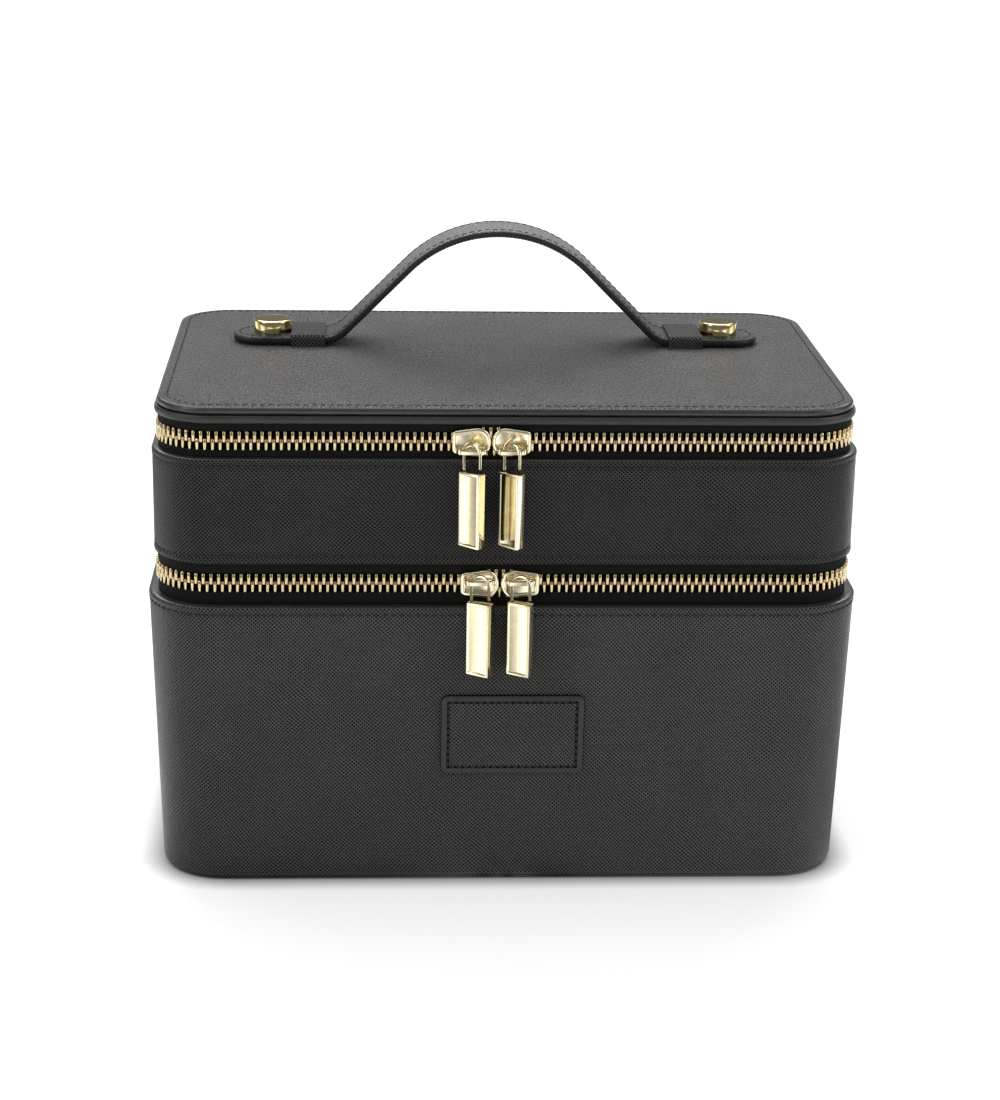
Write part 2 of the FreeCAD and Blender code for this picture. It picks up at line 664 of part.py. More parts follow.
def slider(label, x, inset_chain, height, lift, to_left):
    """A zip slider: two plates joined by a post, flanges round the rows, a bridge in front.

    The nose points along +X before the slider is placed; to_left turns it over to point along -X.
    The lift is the height of the bridge over the middle of the chain.
    """
    body = new_body(label)
    end = "(Sizes.slider_length / 2)"
    plates = new_sketch(body, f"{label}_plates", "XZ_Plane")
    shape = (("-" + end, "Derived.tail_half"), ("-Sizes.throat_start", "Derived.tail_half"),
             ("Sizes.throat_end", "Derived.nose_half"),
             (f"{end} - Sizes.nose_chamfer", "Derived.nose_half"),
             (end, "Derived.nose_half - 2 * Sizes.nose_chamfer"))
    mirrored = tuple((along, f"-({across})") for along, across in reversed(shape))
    polygon_loop(plates, "plates", shape + mirrored)
    extrude(body, "Pad", f"{label}_block", plates, "Derived.slider_depth", symmetric=True)
    far = f"({end} + Sizes.slider_plate)"
    post = (("Sizes.post_start", "0"), ("Sizes.post_start + Sizes.post_length / 2", "-Sizes.post_half"),
            ("Sizes.post_start + Sizes.post_length", "0"),
            ("Sizes.post_start + Sizes.post_length / 2", "Sizes.post_half"))
    channel = new_sketch(body, f"{label}_channel", "XZ_Plane")
    tail_in = "(Derived.tail_half - Sizes.slider_flange)"
    nose_in = "(Derived.nose_half - Sizes.slider_flange)"
    upper = (("-" + far, tail_in), ("-Sizes.throat_start", tail_in), ("Sizes.throat_end", nose_in),
             (far, nose_in))
    lower = tuple((along, f"-({across})") for along, across in reversed(upper))
    polygon_loop(channel, "channel", upper + lower)
    polygon_loop(channel, "post", post)
    check_cut(body, extrude(body, "Pocket", f"{label}_throat", channel,
                            "Sizes.tooth_depth + 2 * Sizes.channel_clear", symmetric=True))
    slot = new_sketch(body, f"{label}_slot", "XZ_Plane")
    tall = "(Derived.nose_half + Sizes.slider_plate)"
    polygon_loop(slot, "slot", (("-" + far, "-" + tall), (far, "-" + tall), (far, tall), ("-" + far, tall)))
    polygon_loop(slot, "core", post)
    check_cut(body, extrude(body, "Pocket", f"{label}_tape_slot", slot, "Sizes.slider_slot", symmetric=True))
    bridge = new_sketch(body, f"{label}_bridge", "XY_Plane", f"-{lift}" if to_left else lift)
    span = "(Sizes.bridge_span / 2)"
    leg = f"({span} - Sizes.bridge_bar)"
    face = "-(Derived.slider_depth / 2)"
    near = "-(Derived.bridge_axis - Sizes.bridge_bar / 2)"
    front = "-(Derived.bridge_axis + Sizes.bridge_bar / 2)"
    polygon_loop(bridge, "bridge", (("-" + span, face), ("-" + span, front), (span, front), (span, face),
                                    (leg, face), (leg, near), ("-" + leg, near), ("-" + leg, face)))
    extrude(body, "Pad", f"{label}_arch", bridge, "Sizes.bridge_bar", symmetric=True)
    if to_left:
        body.Placement.Rotation = FreeCAD.Rotation(FreeCAD.Vector(0, 1, 0), 180)
    place(body, x, f"-(Sizes.case_depth / 2 - {inset_chain})", height)
    return body


def pull_bail(label, x, inset_chain, height, twist):
    """The shackle that hangs round a slider's bridge, twisted and tilted off the wall."""
    body = new_body(label)
    sketch = new_sketch(body, f"{label}_outline", "XZ_Plane")
    half = "(Sizes.bail_width / 2)"
    inner = f"({half} - Sizes.bail_wire)"
    crown = "Sizes.bail_crown"
    under = f"({crown} - Sizes.bail_wire)"
    foot = "-Sizes.bail_drop"
    cut = "Sizes.bail_wire"
    bend = f"({cut} * 3 / 2)"
    polygon_loop(sketch, "bail", (
        ("-" + half, foot), ("-" + inner, foot), ("-" + inner, f"{under} - {cut}"),
        (f"-({inner} - {cut})", under), (f"{inner} - {cut}", under), (inner, f"{under} - {cut}"),
        (inner, foot), (half, foot), (half, f"{crown} - {bend}"), (f"{half} - {bend}", crown),
        (f"-({half} - {bend})", crown), ("-" + half, f"{crown} - {bend}"),
    ))
    extrude(body, "Pad", f"{label}_wire", sketch, "Sizes.bail_wire", symmetric=True)
    twisted = FreeCAD.Rotation(FreeCAD.Vector(0, 0, 1), -number(twist))
    tilted = FreeCAD.Rotation(FreeCAD.Vector(1, 0, 0), -number("Sizes.pull_tilt"))
    body.Placement.Rotation = tilted * twisted
    place(body, x, f"-(Sizes.case_depth / 2 - {inset_chain} + Derived.bridge_axis)", height)
    return body


def pull_bar(label, x, inset_chain, height, twist):
    """The flat pull below a shackle: bevelled all round, with a bare recessed face.

    It hangs just under the lowest corner of the shackle's tilted feet.
    """
    body = new_body(label)
    sketch = new_sketch(body, f"{label}_outline", "XZ_Plane")
    half = "(Sizes.pull_width / 2)"
    polygon_loop(sketch, "bar", (("-" + half, "-Sizes.pull_length"), (half, "-Sizes.pull_length"),
                                 (half, "0"), ("-" + half, "0")))
    bar = extrude(body, "Pad", f"{label}_bar", sketch, "Sizes.pull_thickness", symmetric=True)
    doc.recompute()
    long_edges = [f"Edge{index}" for index, edge in enumerate(bar.Shape.Edges, start=1)
                  if edge.BoundBox.YLength < 1e-6]
    bevel = body.newObject("PartDesign::Chamfer", f"{label}_bevel")
    bevel.Base = (bar, long_edges)
    bevel.setExpression("Size", "Sizes.pull_bevel")
    body.Tip = bevel
    face = new_sketch(body, f"{label}_face", "XZ_Plane", "Sizes.pull_thickness / 2")
    rim = "(Sizes.pull_rim + Sizes.pull_bevel)"
    wide = f"({half} - {rim})"
    foot = f"-(Sizes.pull_length - {rim})"
    polygon_loop(face, "face", (("-" + wide, foot), (wide, foot), (wide, "-" + rim), ("-" + wide, "-" + rim)))
    check_cut(body, extrude(body, "Pocket", f"{label}_recess", face, "Sizes.pull_recess"))
    body.Placement.Rotation = FreeCAD.Rotation(FreeCAD.Vector(0, 0, 1), -number(twist))
    foot_depth = f"(Sizes.bail_width * sin({twist} * 1deg) + Sizes.bail_wire * cos({twist} * 1deg)) / 2"
    foot_dip = f"{foot_depth} * sin(Sizes.pull_tilt * 1deg)"
    place(body, x, f"-(Sizes.case_depth / 2 - {inset_chain} + Derived.bridge_axis + Derived.pull_reach)",
          f"{height} - Derived.foot_drop - {foot_dip} - Sizes.pull_seat")
    return body


def sliders_and_pulls():
    """Two sliders on each zip, noses together, each with its shackle and pull."""
    made = []
    for zip_name in ("tier", "lid"):
        for side in ("left", "right"):
            name = f"{zip_name}_{side}"
            x = f"Sizes.{zip_name}_slider_{side}"
            chain = f"Derived.{zip_name}_chain_inset"
            height = f"Derived.{zip_name}_zip"
            lift = f"Sizes.{zip_name}_bridge_lift"
            twist = f"Sizes.{name}_twist"
            made.append(slider(f"{name}_slider", x, chain, height, lift, side == "right"))
            made.append(pull_bail(f"{name}_pull_bail", x, chain, f"({height} + {lift})", twist))
            made.append(pull_bar(f"{name}_pull_bar", x, chain, f"({height} + {lift})", twist))
    return made


def handle_grip():
    """The crown of the handle strap, an arc between the two straight legs."""
    body = new_body("handle_grip")
    sketch = new_sketch(body, "crown_outline", "XZ_Plane")
    centre = FreeCAD.Vector(0, number("Derived.crown_low"), 0)
    up = FreeCAD.Vector(0, 0, 1)
    half = "Sizes.strap_thickness / 2"
    lean = math.radians(number("Sizes.leg_angle"))
    starts = []
    outer = f"(Derived.crown_radius + {half})"
    inner = f"(Derived.crown_radius - {half})"
    for name, radius in (("outside", outer), ("inside", inner)):
        circle = Part.Circle(centre, up, number(radius))
        arc = sketch.addGeometry(Part.ArcOfCircle(circle, math.pi / 2 - lean, math.pi / 2 + lean), False)
        drive(sketch, Sketcher.Constraint("Radius", arc, number(radius)), f"{name}_radius", radius)
        starts.append(arc)
    outside, inside = starts
    sketch.addConstraint(Sketcher.Constraint("PointOnObject", outside, 3, -2))
    drive(sketch, Sketcher.Constraint("DistanceY", -1, 1, outside, 3, centre.y), "crown_height",
          "Derived.crown_low")
    sketch.addConstraint(Sketcher.Constraint("Coincident", inside, 3, outside, 3))
    for end, sign in ((1, ""), (2, "-")):
        outer_x = f"{sign}{outer} * Derived.leg_sine"
        inner_x = f"{sign}{inner} * Derived.leg_sine"
        first = sketch.getPoint(outside, end)
        last = sketch.getPoint(inside, end)
        line = sketch.addGeometry(Part.LineSegment(first, last), False)
        sketch.addConstraint(Sketcher.Constraint("Coincident", outside, end, line, 1))
        sketch.addConstraint(Sketcher.Constraint("Coincident", inside, end, line, 2))
        for name, point, x in (("outer", 1, outer_x), ("inner", 2, inner_x)):
            drive(sketch, Sketcher.Constraint("DistanceX", -1, 1, line, point, number(x)), f"{name}_{end}", x)
    extrude(body, "Pad", "crown_pad", sketch, "Sizes.strap_width", symmetric=True)
    place(body, "0", "Sizes.handle_back", "0")
    return body


def strap_leg(label):
    """The right leg of the handle strap: a bend out of the keeper, then a straight rise."""
    body = new_body(label)
    spine = new_sketch(body, f"{label}_spine", "XZ_Plane")
    up = FreeCAD.Vector(0, 0, 1)
    reach = number("Derived.handle_reach")
    bend = number("Sizes.bend_radius")
    centre_height = "Derived.strap_centre + Sizes.bend_radius"
    circle = Part.Circle(FreeCAD.Vector(reach, number(centre_height), 0), up, bend)
    lean = math.radians(number("Sizes.leg_angle"))
    arc = spine.addGeometry(Part.ArcOfCircle(circle, 1.5 * math.pi - lean, 1.5 * math.pi), False)
    drive(spine, Sketcher.Constraint("DistanceX", -1, 1, arc, 3, reach), "bend_x", "Derived.handle_reach")
    drive(spine, Sketcher.Constraint("DistanceY", -1, 1, arc, 3, number(centre_height)), "bend_y",
          centre_height)
    drive(spine, Sketcher.Constraint("Radius", arc, bend), "bend_radius", "Sizes.bend_radius")
    spine.addConstraint(Sketcher.Constraint("Vertical", arc, 3, arc, 2))
    top_x = "Derived.crown_radius * Derived.leg_sine"
    top_y = "Derived.crown_low + Derived.crown_radius * Derived.leg_cosine"
    top = FreeCAD.Vector(number(top_x), number(top_y), 0)
    line = spine.addGeometry(Part.LineSegment(spine.getPoint(arc, 1), top), False)
    spine.addConstraint(Sketcher.Constraint("Coincident", arc, 1, line, 1))
    drive(spine, Sketcher.Constraint("DistanceX", -1, 1, line, 2, top.x), "top_x", top_x)
    drive(spine, Sketcher.Constraint("DistanceY", -1, 1, line, 2, top.y), "top_y", top_y)
    foot_x = "Derived.handle_reach - Sizes.bend_radius * Derived.leg_sine"
    drive(spine, Sketcher.Constraint("DistanceX", -1, 1, line, 1, number(foot_x)), "foot_x", foot_x)
    section = new_sketch(body, f"{label}_section", "YZ_Plane", "Derived.handle_reach")
    wide = "(Sizes.strap_width / 2)"
    low = "Derived.strap_low"
    high = "(Derived.strap_low + Sizes.strap_thickness)"
    polygon_loop(section, "section", (("-" + wide, low), (wide, low), (wide, high), ("-" + wide, high)))
    pipe = body.newObject("PartDesign::AdditivePipe", f"{label}_sweep")
    pipe.Profile = section
    pipe.Spine = (spine, ["Edge1", "Edge2"])
    place(body, "0", "Sizes.handle_back", "0")
    return body


def strap_tab(label):
    """The right end of the strap, flat on the lid, with a round end."""
    body = new_body(label)
    sketch = new_sketch(body, f"{label}_outline", "XY_Plane", "Derived.strap_low")
    half = number("Sizes.strap_width / 2")
    start = number("Derived.handle_reach")
    turn = number("Sizes.tab_end") - half
    up = FreeCAD.Vector(0, 0, 1)
    corners = (FreeCAD.Vector(turn, half, 0), FreeCAD.Vector(start, half, 0),
               FreeCAD.Vector(start, -half, 0), FreeCAD.Vector(turn, -half, 0))
    for index in range(3):
        sketch.addGeometry(Part.LineSegment(corners[index], corners[index + 1]), False)
    circle = Part.Circle(FreeCAD.Vector(turn, 0, 0), up, half)
    sketch.addGeometry(Part.ArcOfCircle(circle, -math.pi / 2, math.pi / 2), False)
    sketch.addConstraint(Sketcher.Constraint("Coincident", 0, 2, 1, 1))
    sketch.addConstraint(Sketcher.Constraint("Coincident", 1, 2, 2, 1))
    sketch.addConstraint(Sketcher.Constraint("Tangent", 2, 2, 3, 1))
    sketch.addConstraint(Sketcher.Constraint("Tangent", 3, 2, 0, 1))
    sketch.addConstraint(Sketcher.Constraint("Horizontal", 0))
    sketch.addConstraint(Sketcher.Constraint("Vertical", 1))
    sketch.addConstraint(Sketcher.Constraint("PointOnObject", 3, 3, -1))
    drive(sketch, Sketcher.Constraint("Radius", 3, half), "end_radius", "Sizes.strap_width / 2")
    drive(sketch, Sketcher.Constraint("DistanceX", -1, 1, 3, 3, turn), "end_x",
          "Sizes.tab_end - Sizes.strap_width / 2")
    drive(sketch, Sketcher.Constraint("DistanceX", -1, 1, 1, 1, start), "start_x", "Derived.handle_reach")
    extrude(body, "Pad", f"{label}_pad", sketch, "Sizes.strap_thickness")
    place(body, "0", "Sizes.handle_back", "0")
    return body


def strap_stud(label):
    """The right stud: a turned cap with a dished top, fixed on the strap's end."""
    body = new_body(label)
    sketch = new_sketch(body, f"{label}_profile", "XZ_Plane")
    low = "Sizes.strap_thickness"
    top = f"({low} + Sizes.stud_height)"
    dish = f"({top} - Sizes.stud_dish)"
    rim = "(Sizes.stud_radius - Sizes.stud_rim)"
    polygon_loop(sketch, "stud", (
        ("0", low), ("Sizes.stud_radius", low), ("Sizes.stud_radius", top),
        (rim, top), (f"{rim} - Sizes.stud_dish", dish), ("0", dish),
    ))
    turned = body.newObject("PartDesign::Revolution", f"{label}_turned")
    turned.Profile = sketch
    turned.ReferenceAxis = (sketch, ["V_Axis"])
    turned.Angle = 360.0
    place(body, "Sizes.stud_centre", "Sizes.handle_back", "Derived.strap_low")
    return body


def keeper(label):
    """The right keeper: a leather loop, sewn down to the lid, that the strap slides through."""
    body = new_body(label)
    sketch = new_sketch(body, f"{label}_section", "YZ_Plane", "Sizes.keeper_centre")
    inner = "(Sizes.strap_width / 2 + Sizes.strap_clear)"
    outer = f"({inner} + Sizes.keeper_leather)"
    low = "Derived.lid_top"
    roof = "(Derived.strap_low + Sizes.strap_thickness + Sizes.strap_clear)"
    top = f"({roof} + Sizes.keeper_leather)"
    slope = f"({outer} - Sizes.keeper_leather)"
    polygon_loop(sketch, "loop", (
        ("-" + outer, low), ("-" + inner, low), ("-" + inner, roof), (inner, roof),
        (inner, low), (outer, low),
        (outer, f"{top} - Sizes.keeper_leather"), (slope, top), ("-" + slope, top),
        ("-" + outer, f"{top} - Sizes.keeper_leather"),
    ))
    extrude(body, "Pad", f"{label}_pad", sketch, "Sizes.keeper_length", symmetric=True)
    place(body, "0", "Sizes.handle_back", "0")
    return body


def mirrored(label, source):
    """The left twin of a right-hand piece."""
    twin = doc.addObject("Part::Mirroring", label)
    twin.Label = label
    twin.Source = source
    twin.Base = FreeCAD.Vector(0, 0, 0)
    twin.Normal = FreeCAD.Vector(1, 0, 0)
    return twin


def handle():
    """The strap in five lengths, its studs, and the keepers on the lid."""
    made = [handle_grip()]
    for name, build in (("strap_leg", strap_leg), ("strap_tab", strap_tab), ("strap_stud", strap_stud),
                        ("strap_keeper", keeper)):
        right = build(f"right_{name}")
        made.append(right)
        made.append(mirrored(f"left_{name}", right))
    return made


def all_pieces():
    """Every sub-part of the case."""
    lid_tape = "Derived.tier_step + Derived.lid_tape_inset"
    tier_low = "Sizes.lower_top - Sizes.tape_seam"
    tier_high = "Derived.upper_bottom + Sizes.tape_seam"
    lid_low = "Derived.upper_top - Sizes.tape_seam"
    lid_high = "Derived.lid_under - Sizes.ply_gap"
    pieces = lower_case() + upper_tier() + lid()
    pieces += zip_halves("tier", "Derived.tier_tape_inset", "Derived.tier_chain_inset", "Derived.tier_zip",
                         tier_low, tier_high)
    pieces += zip_halves("lid", lid_tape, "Derived.lid_chain_inset", "Derived.lid_zip", lid_low, lid_high)
    pieces.append(hinge_strip("tier_hinge_strip", "Derived.tier_tape_inset", tier_low, tier_high))
    pieces.append(hinge_strip("lid_hinge_strip", lid_tape, lid_low, lid_high))
    pieces += sliders_and_pulls()
    pieces += handle()
    return pieces


def write(pieces):
    """Checks every object, then writes one file per sub-part."""
    doc.recompute()
    for item in doc.Objects:
        if "Invalid" in item.State or "Error" in item.State:
            raise ValueError(f"{item.Label} failed: {item.State}")
    for piece in pieces:
        if piece.Shape.isNull() or not piece.Shape.isValid():
            raise ValueError(f"{piece.Label} has no valid shape")
    os.makedirs("parts", exist_ok=True)
    for piece in pieces:
        piece.Shape.exportStep(f"parts/{piece.Label}.step")
        print(piece.Label, len(piece.Shape.Solids), round(piece.Shape.Volume, 1))


write(all_pieces())
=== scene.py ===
"""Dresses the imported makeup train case: leather, linings, zips, strap handle and studio.

Pieces are modelled in millimetres and scaled to metres when they are finished.
"""

import json
import logging
import math
from dataclasses import dataclass, field
from enum import Enum
from typing import Callable, Iterable, Sequence

import bpy
import numpy as np
from mathutils import Matrix, Vector

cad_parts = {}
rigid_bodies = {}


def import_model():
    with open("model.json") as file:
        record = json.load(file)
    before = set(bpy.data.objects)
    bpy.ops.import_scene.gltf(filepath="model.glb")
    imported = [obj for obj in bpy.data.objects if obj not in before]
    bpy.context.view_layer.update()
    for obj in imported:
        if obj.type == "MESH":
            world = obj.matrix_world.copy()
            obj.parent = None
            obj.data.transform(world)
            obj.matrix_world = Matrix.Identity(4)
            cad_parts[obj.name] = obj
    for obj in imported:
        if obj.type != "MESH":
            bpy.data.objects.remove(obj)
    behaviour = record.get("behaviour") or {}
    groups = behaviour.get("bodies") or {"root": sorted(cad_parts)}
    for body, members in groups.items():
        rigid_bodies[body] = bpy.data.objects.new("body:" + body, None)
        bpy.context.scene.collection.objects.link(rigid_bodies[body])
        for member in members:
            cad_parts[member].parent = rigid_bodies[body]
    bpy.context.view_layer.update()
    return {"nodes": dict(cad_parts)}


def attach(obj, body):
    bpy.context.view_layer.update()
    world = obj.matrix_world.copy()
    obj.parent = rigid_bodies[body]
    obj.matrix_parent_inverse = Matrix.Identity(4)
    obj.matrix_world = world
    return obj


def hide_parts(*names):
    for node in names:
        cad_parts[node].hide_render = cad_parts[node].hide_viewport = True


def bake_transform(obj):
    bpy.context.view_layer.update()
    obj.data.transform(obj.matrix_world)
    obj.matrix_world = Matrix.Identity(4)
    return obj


for leftover in list(bpy.data.objects):
    bpy.data.objects.remove(leftover)
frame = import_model()

LOG = logging.getLogger("train_case")
MM = 0.001
UP = Vector((0.0, 0.0, 1.0))
ALONG_X = Vector((1.0, 0.0, 0.0))
ORIGIN = (0.0, 0.0, 0.0)
BLACK = (0.0, 0.0, 0.0)
WHITE = (1.0, 1.0, 1.0)

Piece = bpy.types.Object
Material = bpy.types.Material
Socket = bpy.types.NodeSocket
Pair = tuple[float, float]
Triple = tuple[float, float, float]
Profile = tuple[Pair, ...]


@dataclass(frozen=True)
class Outline:
    """A rounded rectangle round the case, centred on the origin.

    Distances along it run from the middle of the front, positive towards +X.
    """

    width: float
    depth: float
    radius: float

    def inset(self, margin: float) -> "Outline":
        """The outline moved inwards by a margin."""
        return Outline(self.width - 2 * margin, self.depth - 2 * margin, self.radius - margin)

    @property
    def runs(self) -> tuple[float, float, float, float, float]:
        """The lengths of half the front, a corner, a side, a corner and half the back.

        Returns:
            The five lengths.
        """
        half = self.width / 2 - self.radius
        corner = math.pi / 2 * self.radius
        return half, corner, self.depth - 2 * self.radius, corner, half

    @property
    def length(self) -> float:
        """The whole way round."""
        return 2 * sum(self.runs)

    def at(self, distance: float) -> Triple:
        """The place and heading at a signed distance.

        Args:
            distance: the way along the outline, negative to the left.

        Returns:
            x, y and the heading in radians; the outside lies to the right of the heading.
        """
        x, y, heading = 0.0, -self.depth / 2, 0.0
        left = abs(distance)
        for number, run in enumerate(self.runs):
            step = min(left, run)
            left -= step
            if number % 2:
                turned = heading + step / self.radius
                x += self.radius * (math.sin(turned) - math.sin(heading))
                y += self.radius * (math.cos(heading) - math.cos(turned))
                heading = turned
            else:
                x += step * math.cos(heading)
                y += step * math.sin(heading)
        return (x, y, heading) if distance >= 0 else (-x, y, -heading)

    def measure(self, points: np.ndarray) -> tuple[np.ndarray, np.ndarray]:
        """How far along the outline, and how far inside it, each point lies.

        Args:
            points: an array of x, y rows.

        Returns:
            The signed distances along, and the depths inside.
        """
        x = np.abs(points[:, 0])
        y = points[:, 1]
        half, corner, side, _, _ = self.runs
        near_x = self.width / 2 - self.radius
        near_y = self.depth / 2 - self.radius
        over_x = x - near_x
        over_y = np.abs(y) - near_y
        turn = np.arctan2(np.maximum(over_x, 1e-9), np.maximum(over_y, 1e-9))
        in_corner = (over_x > 0) & (over_y > 0)
        on_side = (over_x > over_y) & ~in_corner
        front = np.where(in_corner, half + turn * self.radius, x)
        back = half + 2 * corner + side + np.where(in_corner, -turn * self.radius, near_x - x)
        along = np.where(y < 0, front, back)
        along = np.where(on_side, half + corner + y + near_y, along)
        inside = np.where(in_corner, self.radius - np.hypot(over_x, over_y),
                          self.radius - np.maximum(over_x, over_y))
        return np.where(points[:, 0] < 0, -along, along), inside


# The case's main sizes, in millimetres, as in the CAD.
CASE = Outline(230.0, 150.0, 22.0)
LOWER_TOP = 95.6
LOWER_FOOT = 1.2
LEAN = 2.5 / (LOWER_TOP - LOWER_FOOT)
UPPER = Outline(225.83, 145.83, 19.915)
UPPER_FOOT = 109.2
UPPER_TOP = 143.8
LID_TOP = 160.0
HANDLE_BACK = 22.0
HINGE_HALF = 92.0
# A face faces an axis, or lies level, if its normal has this much of that axis.
FACING = 0.9
LEVEL = 0.7
# A face with more sides than these is the flat end of a plate.
FEW_SIDES = 8
# A lining bag's fold at the top, its cloth, its floor's height and the dip of its floor.
BAG_FOLD = ((0.25, 0.15), (0.25, -0.15))
BAG_CLOTH = 0.5
BAG_FLOOR = 1.0
BAG_SAG = (0.6, -0.5)


class Bench:
    """Edit-mode work on one piece at a time, as by hand."""

    @staticmethod
    def clear() -> None:
        """Goes back to object mode with nothing selected."""
        if bpy.context.object is not None and bpy.context.object.mode != "OBJECT":
            bpy.ops.object.mode_set(mode="OBJECT")
        bpy.ops.object.select_all(action="DESELECT")

    @staticmethod
    def start(name: str) -> Piece:
        """Names the primitive just added, applies its place and size, and opens it for editing.

        Args:
            name: the piece's name.

        Returns:
            The piece, in edit mode with everything selected.
        """
        piece = bpy.context.object
        piece.name = name
        piece.data.name = name
        bpy.ops.object.transform_apply(location=True, rotation=True, scale=True)
        bpy.ops.object.mode_set(mode="EDIT")
        Bench.take_all()
        return piece

    @staticmethod
    def plane(name: str, width: float, depth: float, height: float) -> Piece:
        """Adds a level plane of a size at a height, open for editing.

        Args:
            name: the piece's name.
            width: its size along X.
            depth: its size along Y.
            height: the height that it lies at.

        Returns:
            The piece, in edit mode.
        """
        Bench.clear()
        bpy.ops.mesh.primitive_plane_add(size=1.0, location=(0.0, 0.0, height))
        bpy.context.object.scale = (width, depth, 1.0)
        return Bench.start(name)

    @staticmethod
    def block(name: str, size: Sequence[float], centre: Sequence[float]) -> Piece:
        """Adds a box of a size at a place, open for editing.

        Args:
            name: the piece's name.
            size: its size along X, Y and Z.
            centre: its middle.

        Returns:
            The piece, in edit mode.
        """
        Bench.clear()
        bpy.ops.mesh.primitive_cube_add(size=1.0, location=centre)
        bpy.context.object.scale = size
        return Bench.start(name)

    @staticmethod
    def take_all(mode: str = "FACE") -> None:
        """Selects everything, by its faces, edges or points."""
        bpy.ops.mesh.select_mode(type=mode)
        bpy.ops.mesh.select_all(action="SELECT")

    @staticmethod
    def take_none(mode: str) -> None:
        """Turns to faces, edges or points, none selected, and to object mode to mark some.

        Args:
            mode: FACE, EDGE or VERT.
        """
        bpy.ops.mesh.select_mode(type=mode)
        bpy.ops.mesh.select_all(action="DESELECT")
        bpy.ops.object.mode_set(mode="OBJECT")

    @staticmethod
    def select(piece: Piece, test: Callable[[Vector, Vector, int], bool]) -> None:
        """Selects the faces that pass a test.

        Args:
            piece: the piece, in edit mode.
            test: is given each face's middle, normal and number of corners.
        """
        Bench.take_none("FACE")
        for face in piece.data.polygons:
            face.select = test(face.center, face.normal, len(face.vertices))
        bpy.ops.object.mode_set(mode="EDIT")

    @staticmethod
    def select_edges(piece: Piece, test: Callable[[Vector, Vector], bool]) -> None:
        """Selects the edges whose two ends pass a test.

        Args:
            piece: the piece, in edit mode.
            test: is given both ends of each edge.
        """
        Bench.take_none("EDGE")
        points = piece.data.vertices
        for edge in piece.data.edges:
            edge.select = test(points[edge.vertices[0]].co, points[edge.vertices[1]].co)
        bpy.ops.object.mode_set(mode="EDIT")

    @staticmethod
    def select_points(piece: Piece, test: Callable[[Vector], bool]) -> None:
        """Selects the corner points that pass a test.

        Args:
            piece: the piece, in edit mode.
            test: is given each point's place.
        """
        Bench.take_none("VERT")
        for point in piece.data.vertices:
            point.select = test(point.co)
        bpy.ops.object.mode_set(mode="EDIT")

    @staticmethod
    def draw_out(rise: float) -> None:
        """Draws the selected face out, straight up or down."""
        bpy.ops.mesh.extrude_region_move(TRANSFORM_OT_translate={"value": (0.0, 0.0, rise)})

    @staticmethod
    def stretch(by: Sequence[float], centre: Sequence[float] = ORIGIN) -> None:
        """Scales what is selected about a centre."""
        bpy.ops.transform.resize(value=by, center_override=centre)

    @staticmethod
    def step(pairs: Sequence[Pair], each: bool = False) -> None:
        """Steps the selected faces inwards by even margins, and out by rises.

        Args:
            pairs: a margin and a rise for each step.
            each: whether every face steps by itself.
        """
        for margin, rise in pairs:
            bpy.ops.mesh.inset(thickness=margin, depth=rise, use_individual=each,
                               use_even_offset=True)

    @staticmethod
    def recalculate() -> None:
        """Merges doubles and turns every face outwards."""
        bpy.ops.mesh.select_all(action="SELECT")
        bpy.ops.mesh.remove_doubles(threshold=1e-4)
        bpy.ops.mesh.normals_make_consistent(inside=False)

    @staticmethod
    def bisect_along(axis: Vector, places: Iterable[float]) -> None:
        """Adds cuts across the piece under work at places along an axis.

        Args:
            axis: the direction across the cuts.
            places: their distances along it.
        """
        for place in places:
            bpy.ops.mesh.select_all(action="SELECT")
            bpy.ops.mesh.bisect(plane_co=axis * place, plane_no=axis)

    @staticmethod
    def modify(piece: Piece, kind: str, **settings: object) -> None:
        """Adds a modifier and applies it, in object mode.

        Args:
            piece: the piece, in edit mode.
            kind: the modifier's type.
            settings: the modifier's own properties.
        """
        bpy.ops.object.mode_set(mode="OBJECT")
        modifier = piece.modifiers.new(kind.lower(), kind)
        for name, value in settings.items():
            setattr(modifier, name, value)
        bpy.ops.object.modifier_apply(modifier=modifier.name)
        bpy.ops.object.mode_set(mode="EDIT")

    @staticmethod
    def shade(piece: Piece, angle: float = 40.0) -> Piece:
        """Closes the edit of a piece and smooths what turns by less than an angle.

        Args:
            piece: the piece.
            angle: the largest turn that is smoothed, in degrees.

        Returns:
            The piece.
        """
        Bench.clear()
        piece.select_set(True)
        bpy.context.view_layer.objects.active = piece
        bpy.ops.object.shade_smooth_by_angle(angle=math.radians(angle))
        return piece

    @staticmethod
    def close(piece: Piece, angle: float = 40.0) -> Piece:
        """Merges and turns the faces of a piece, closes its edit and smooths it."""
        Bench.recalculate()
        return Bench.shade(piece, angle)

    @staticmethod
    def paint(piece: Piece, number: int, test: Callable[[bpy.types.MeshPolygon], bool]) -> None:
        """Gives the faces that pass a test the finish of a number.

        Args:
            piece: the piece, in object mode.
            number: the finish's place among the piece's own.
            test: is given each face.
        """
        for face in piece.data.polygons:
            if test(face):
                face.material_index = number

    @staticmethod
    def join(name: str, pieces: Sequence[Piece]) -> Piece:
        """Joins finished pieces into one of a new name.

        Args:
            name: the new name.
            pieces: the pieces.

        Returns:
            The first piece, which the others joined.
        """
        Bench.clear()
        for piece in pieces:
            piece.select_set(True)
        bpy.context.view_layer.objects.active = pieces[0]
        bpy.ops.object.join()
        pieces[0].name = name
        pieces[0].data.name = name
        return pieces[0]

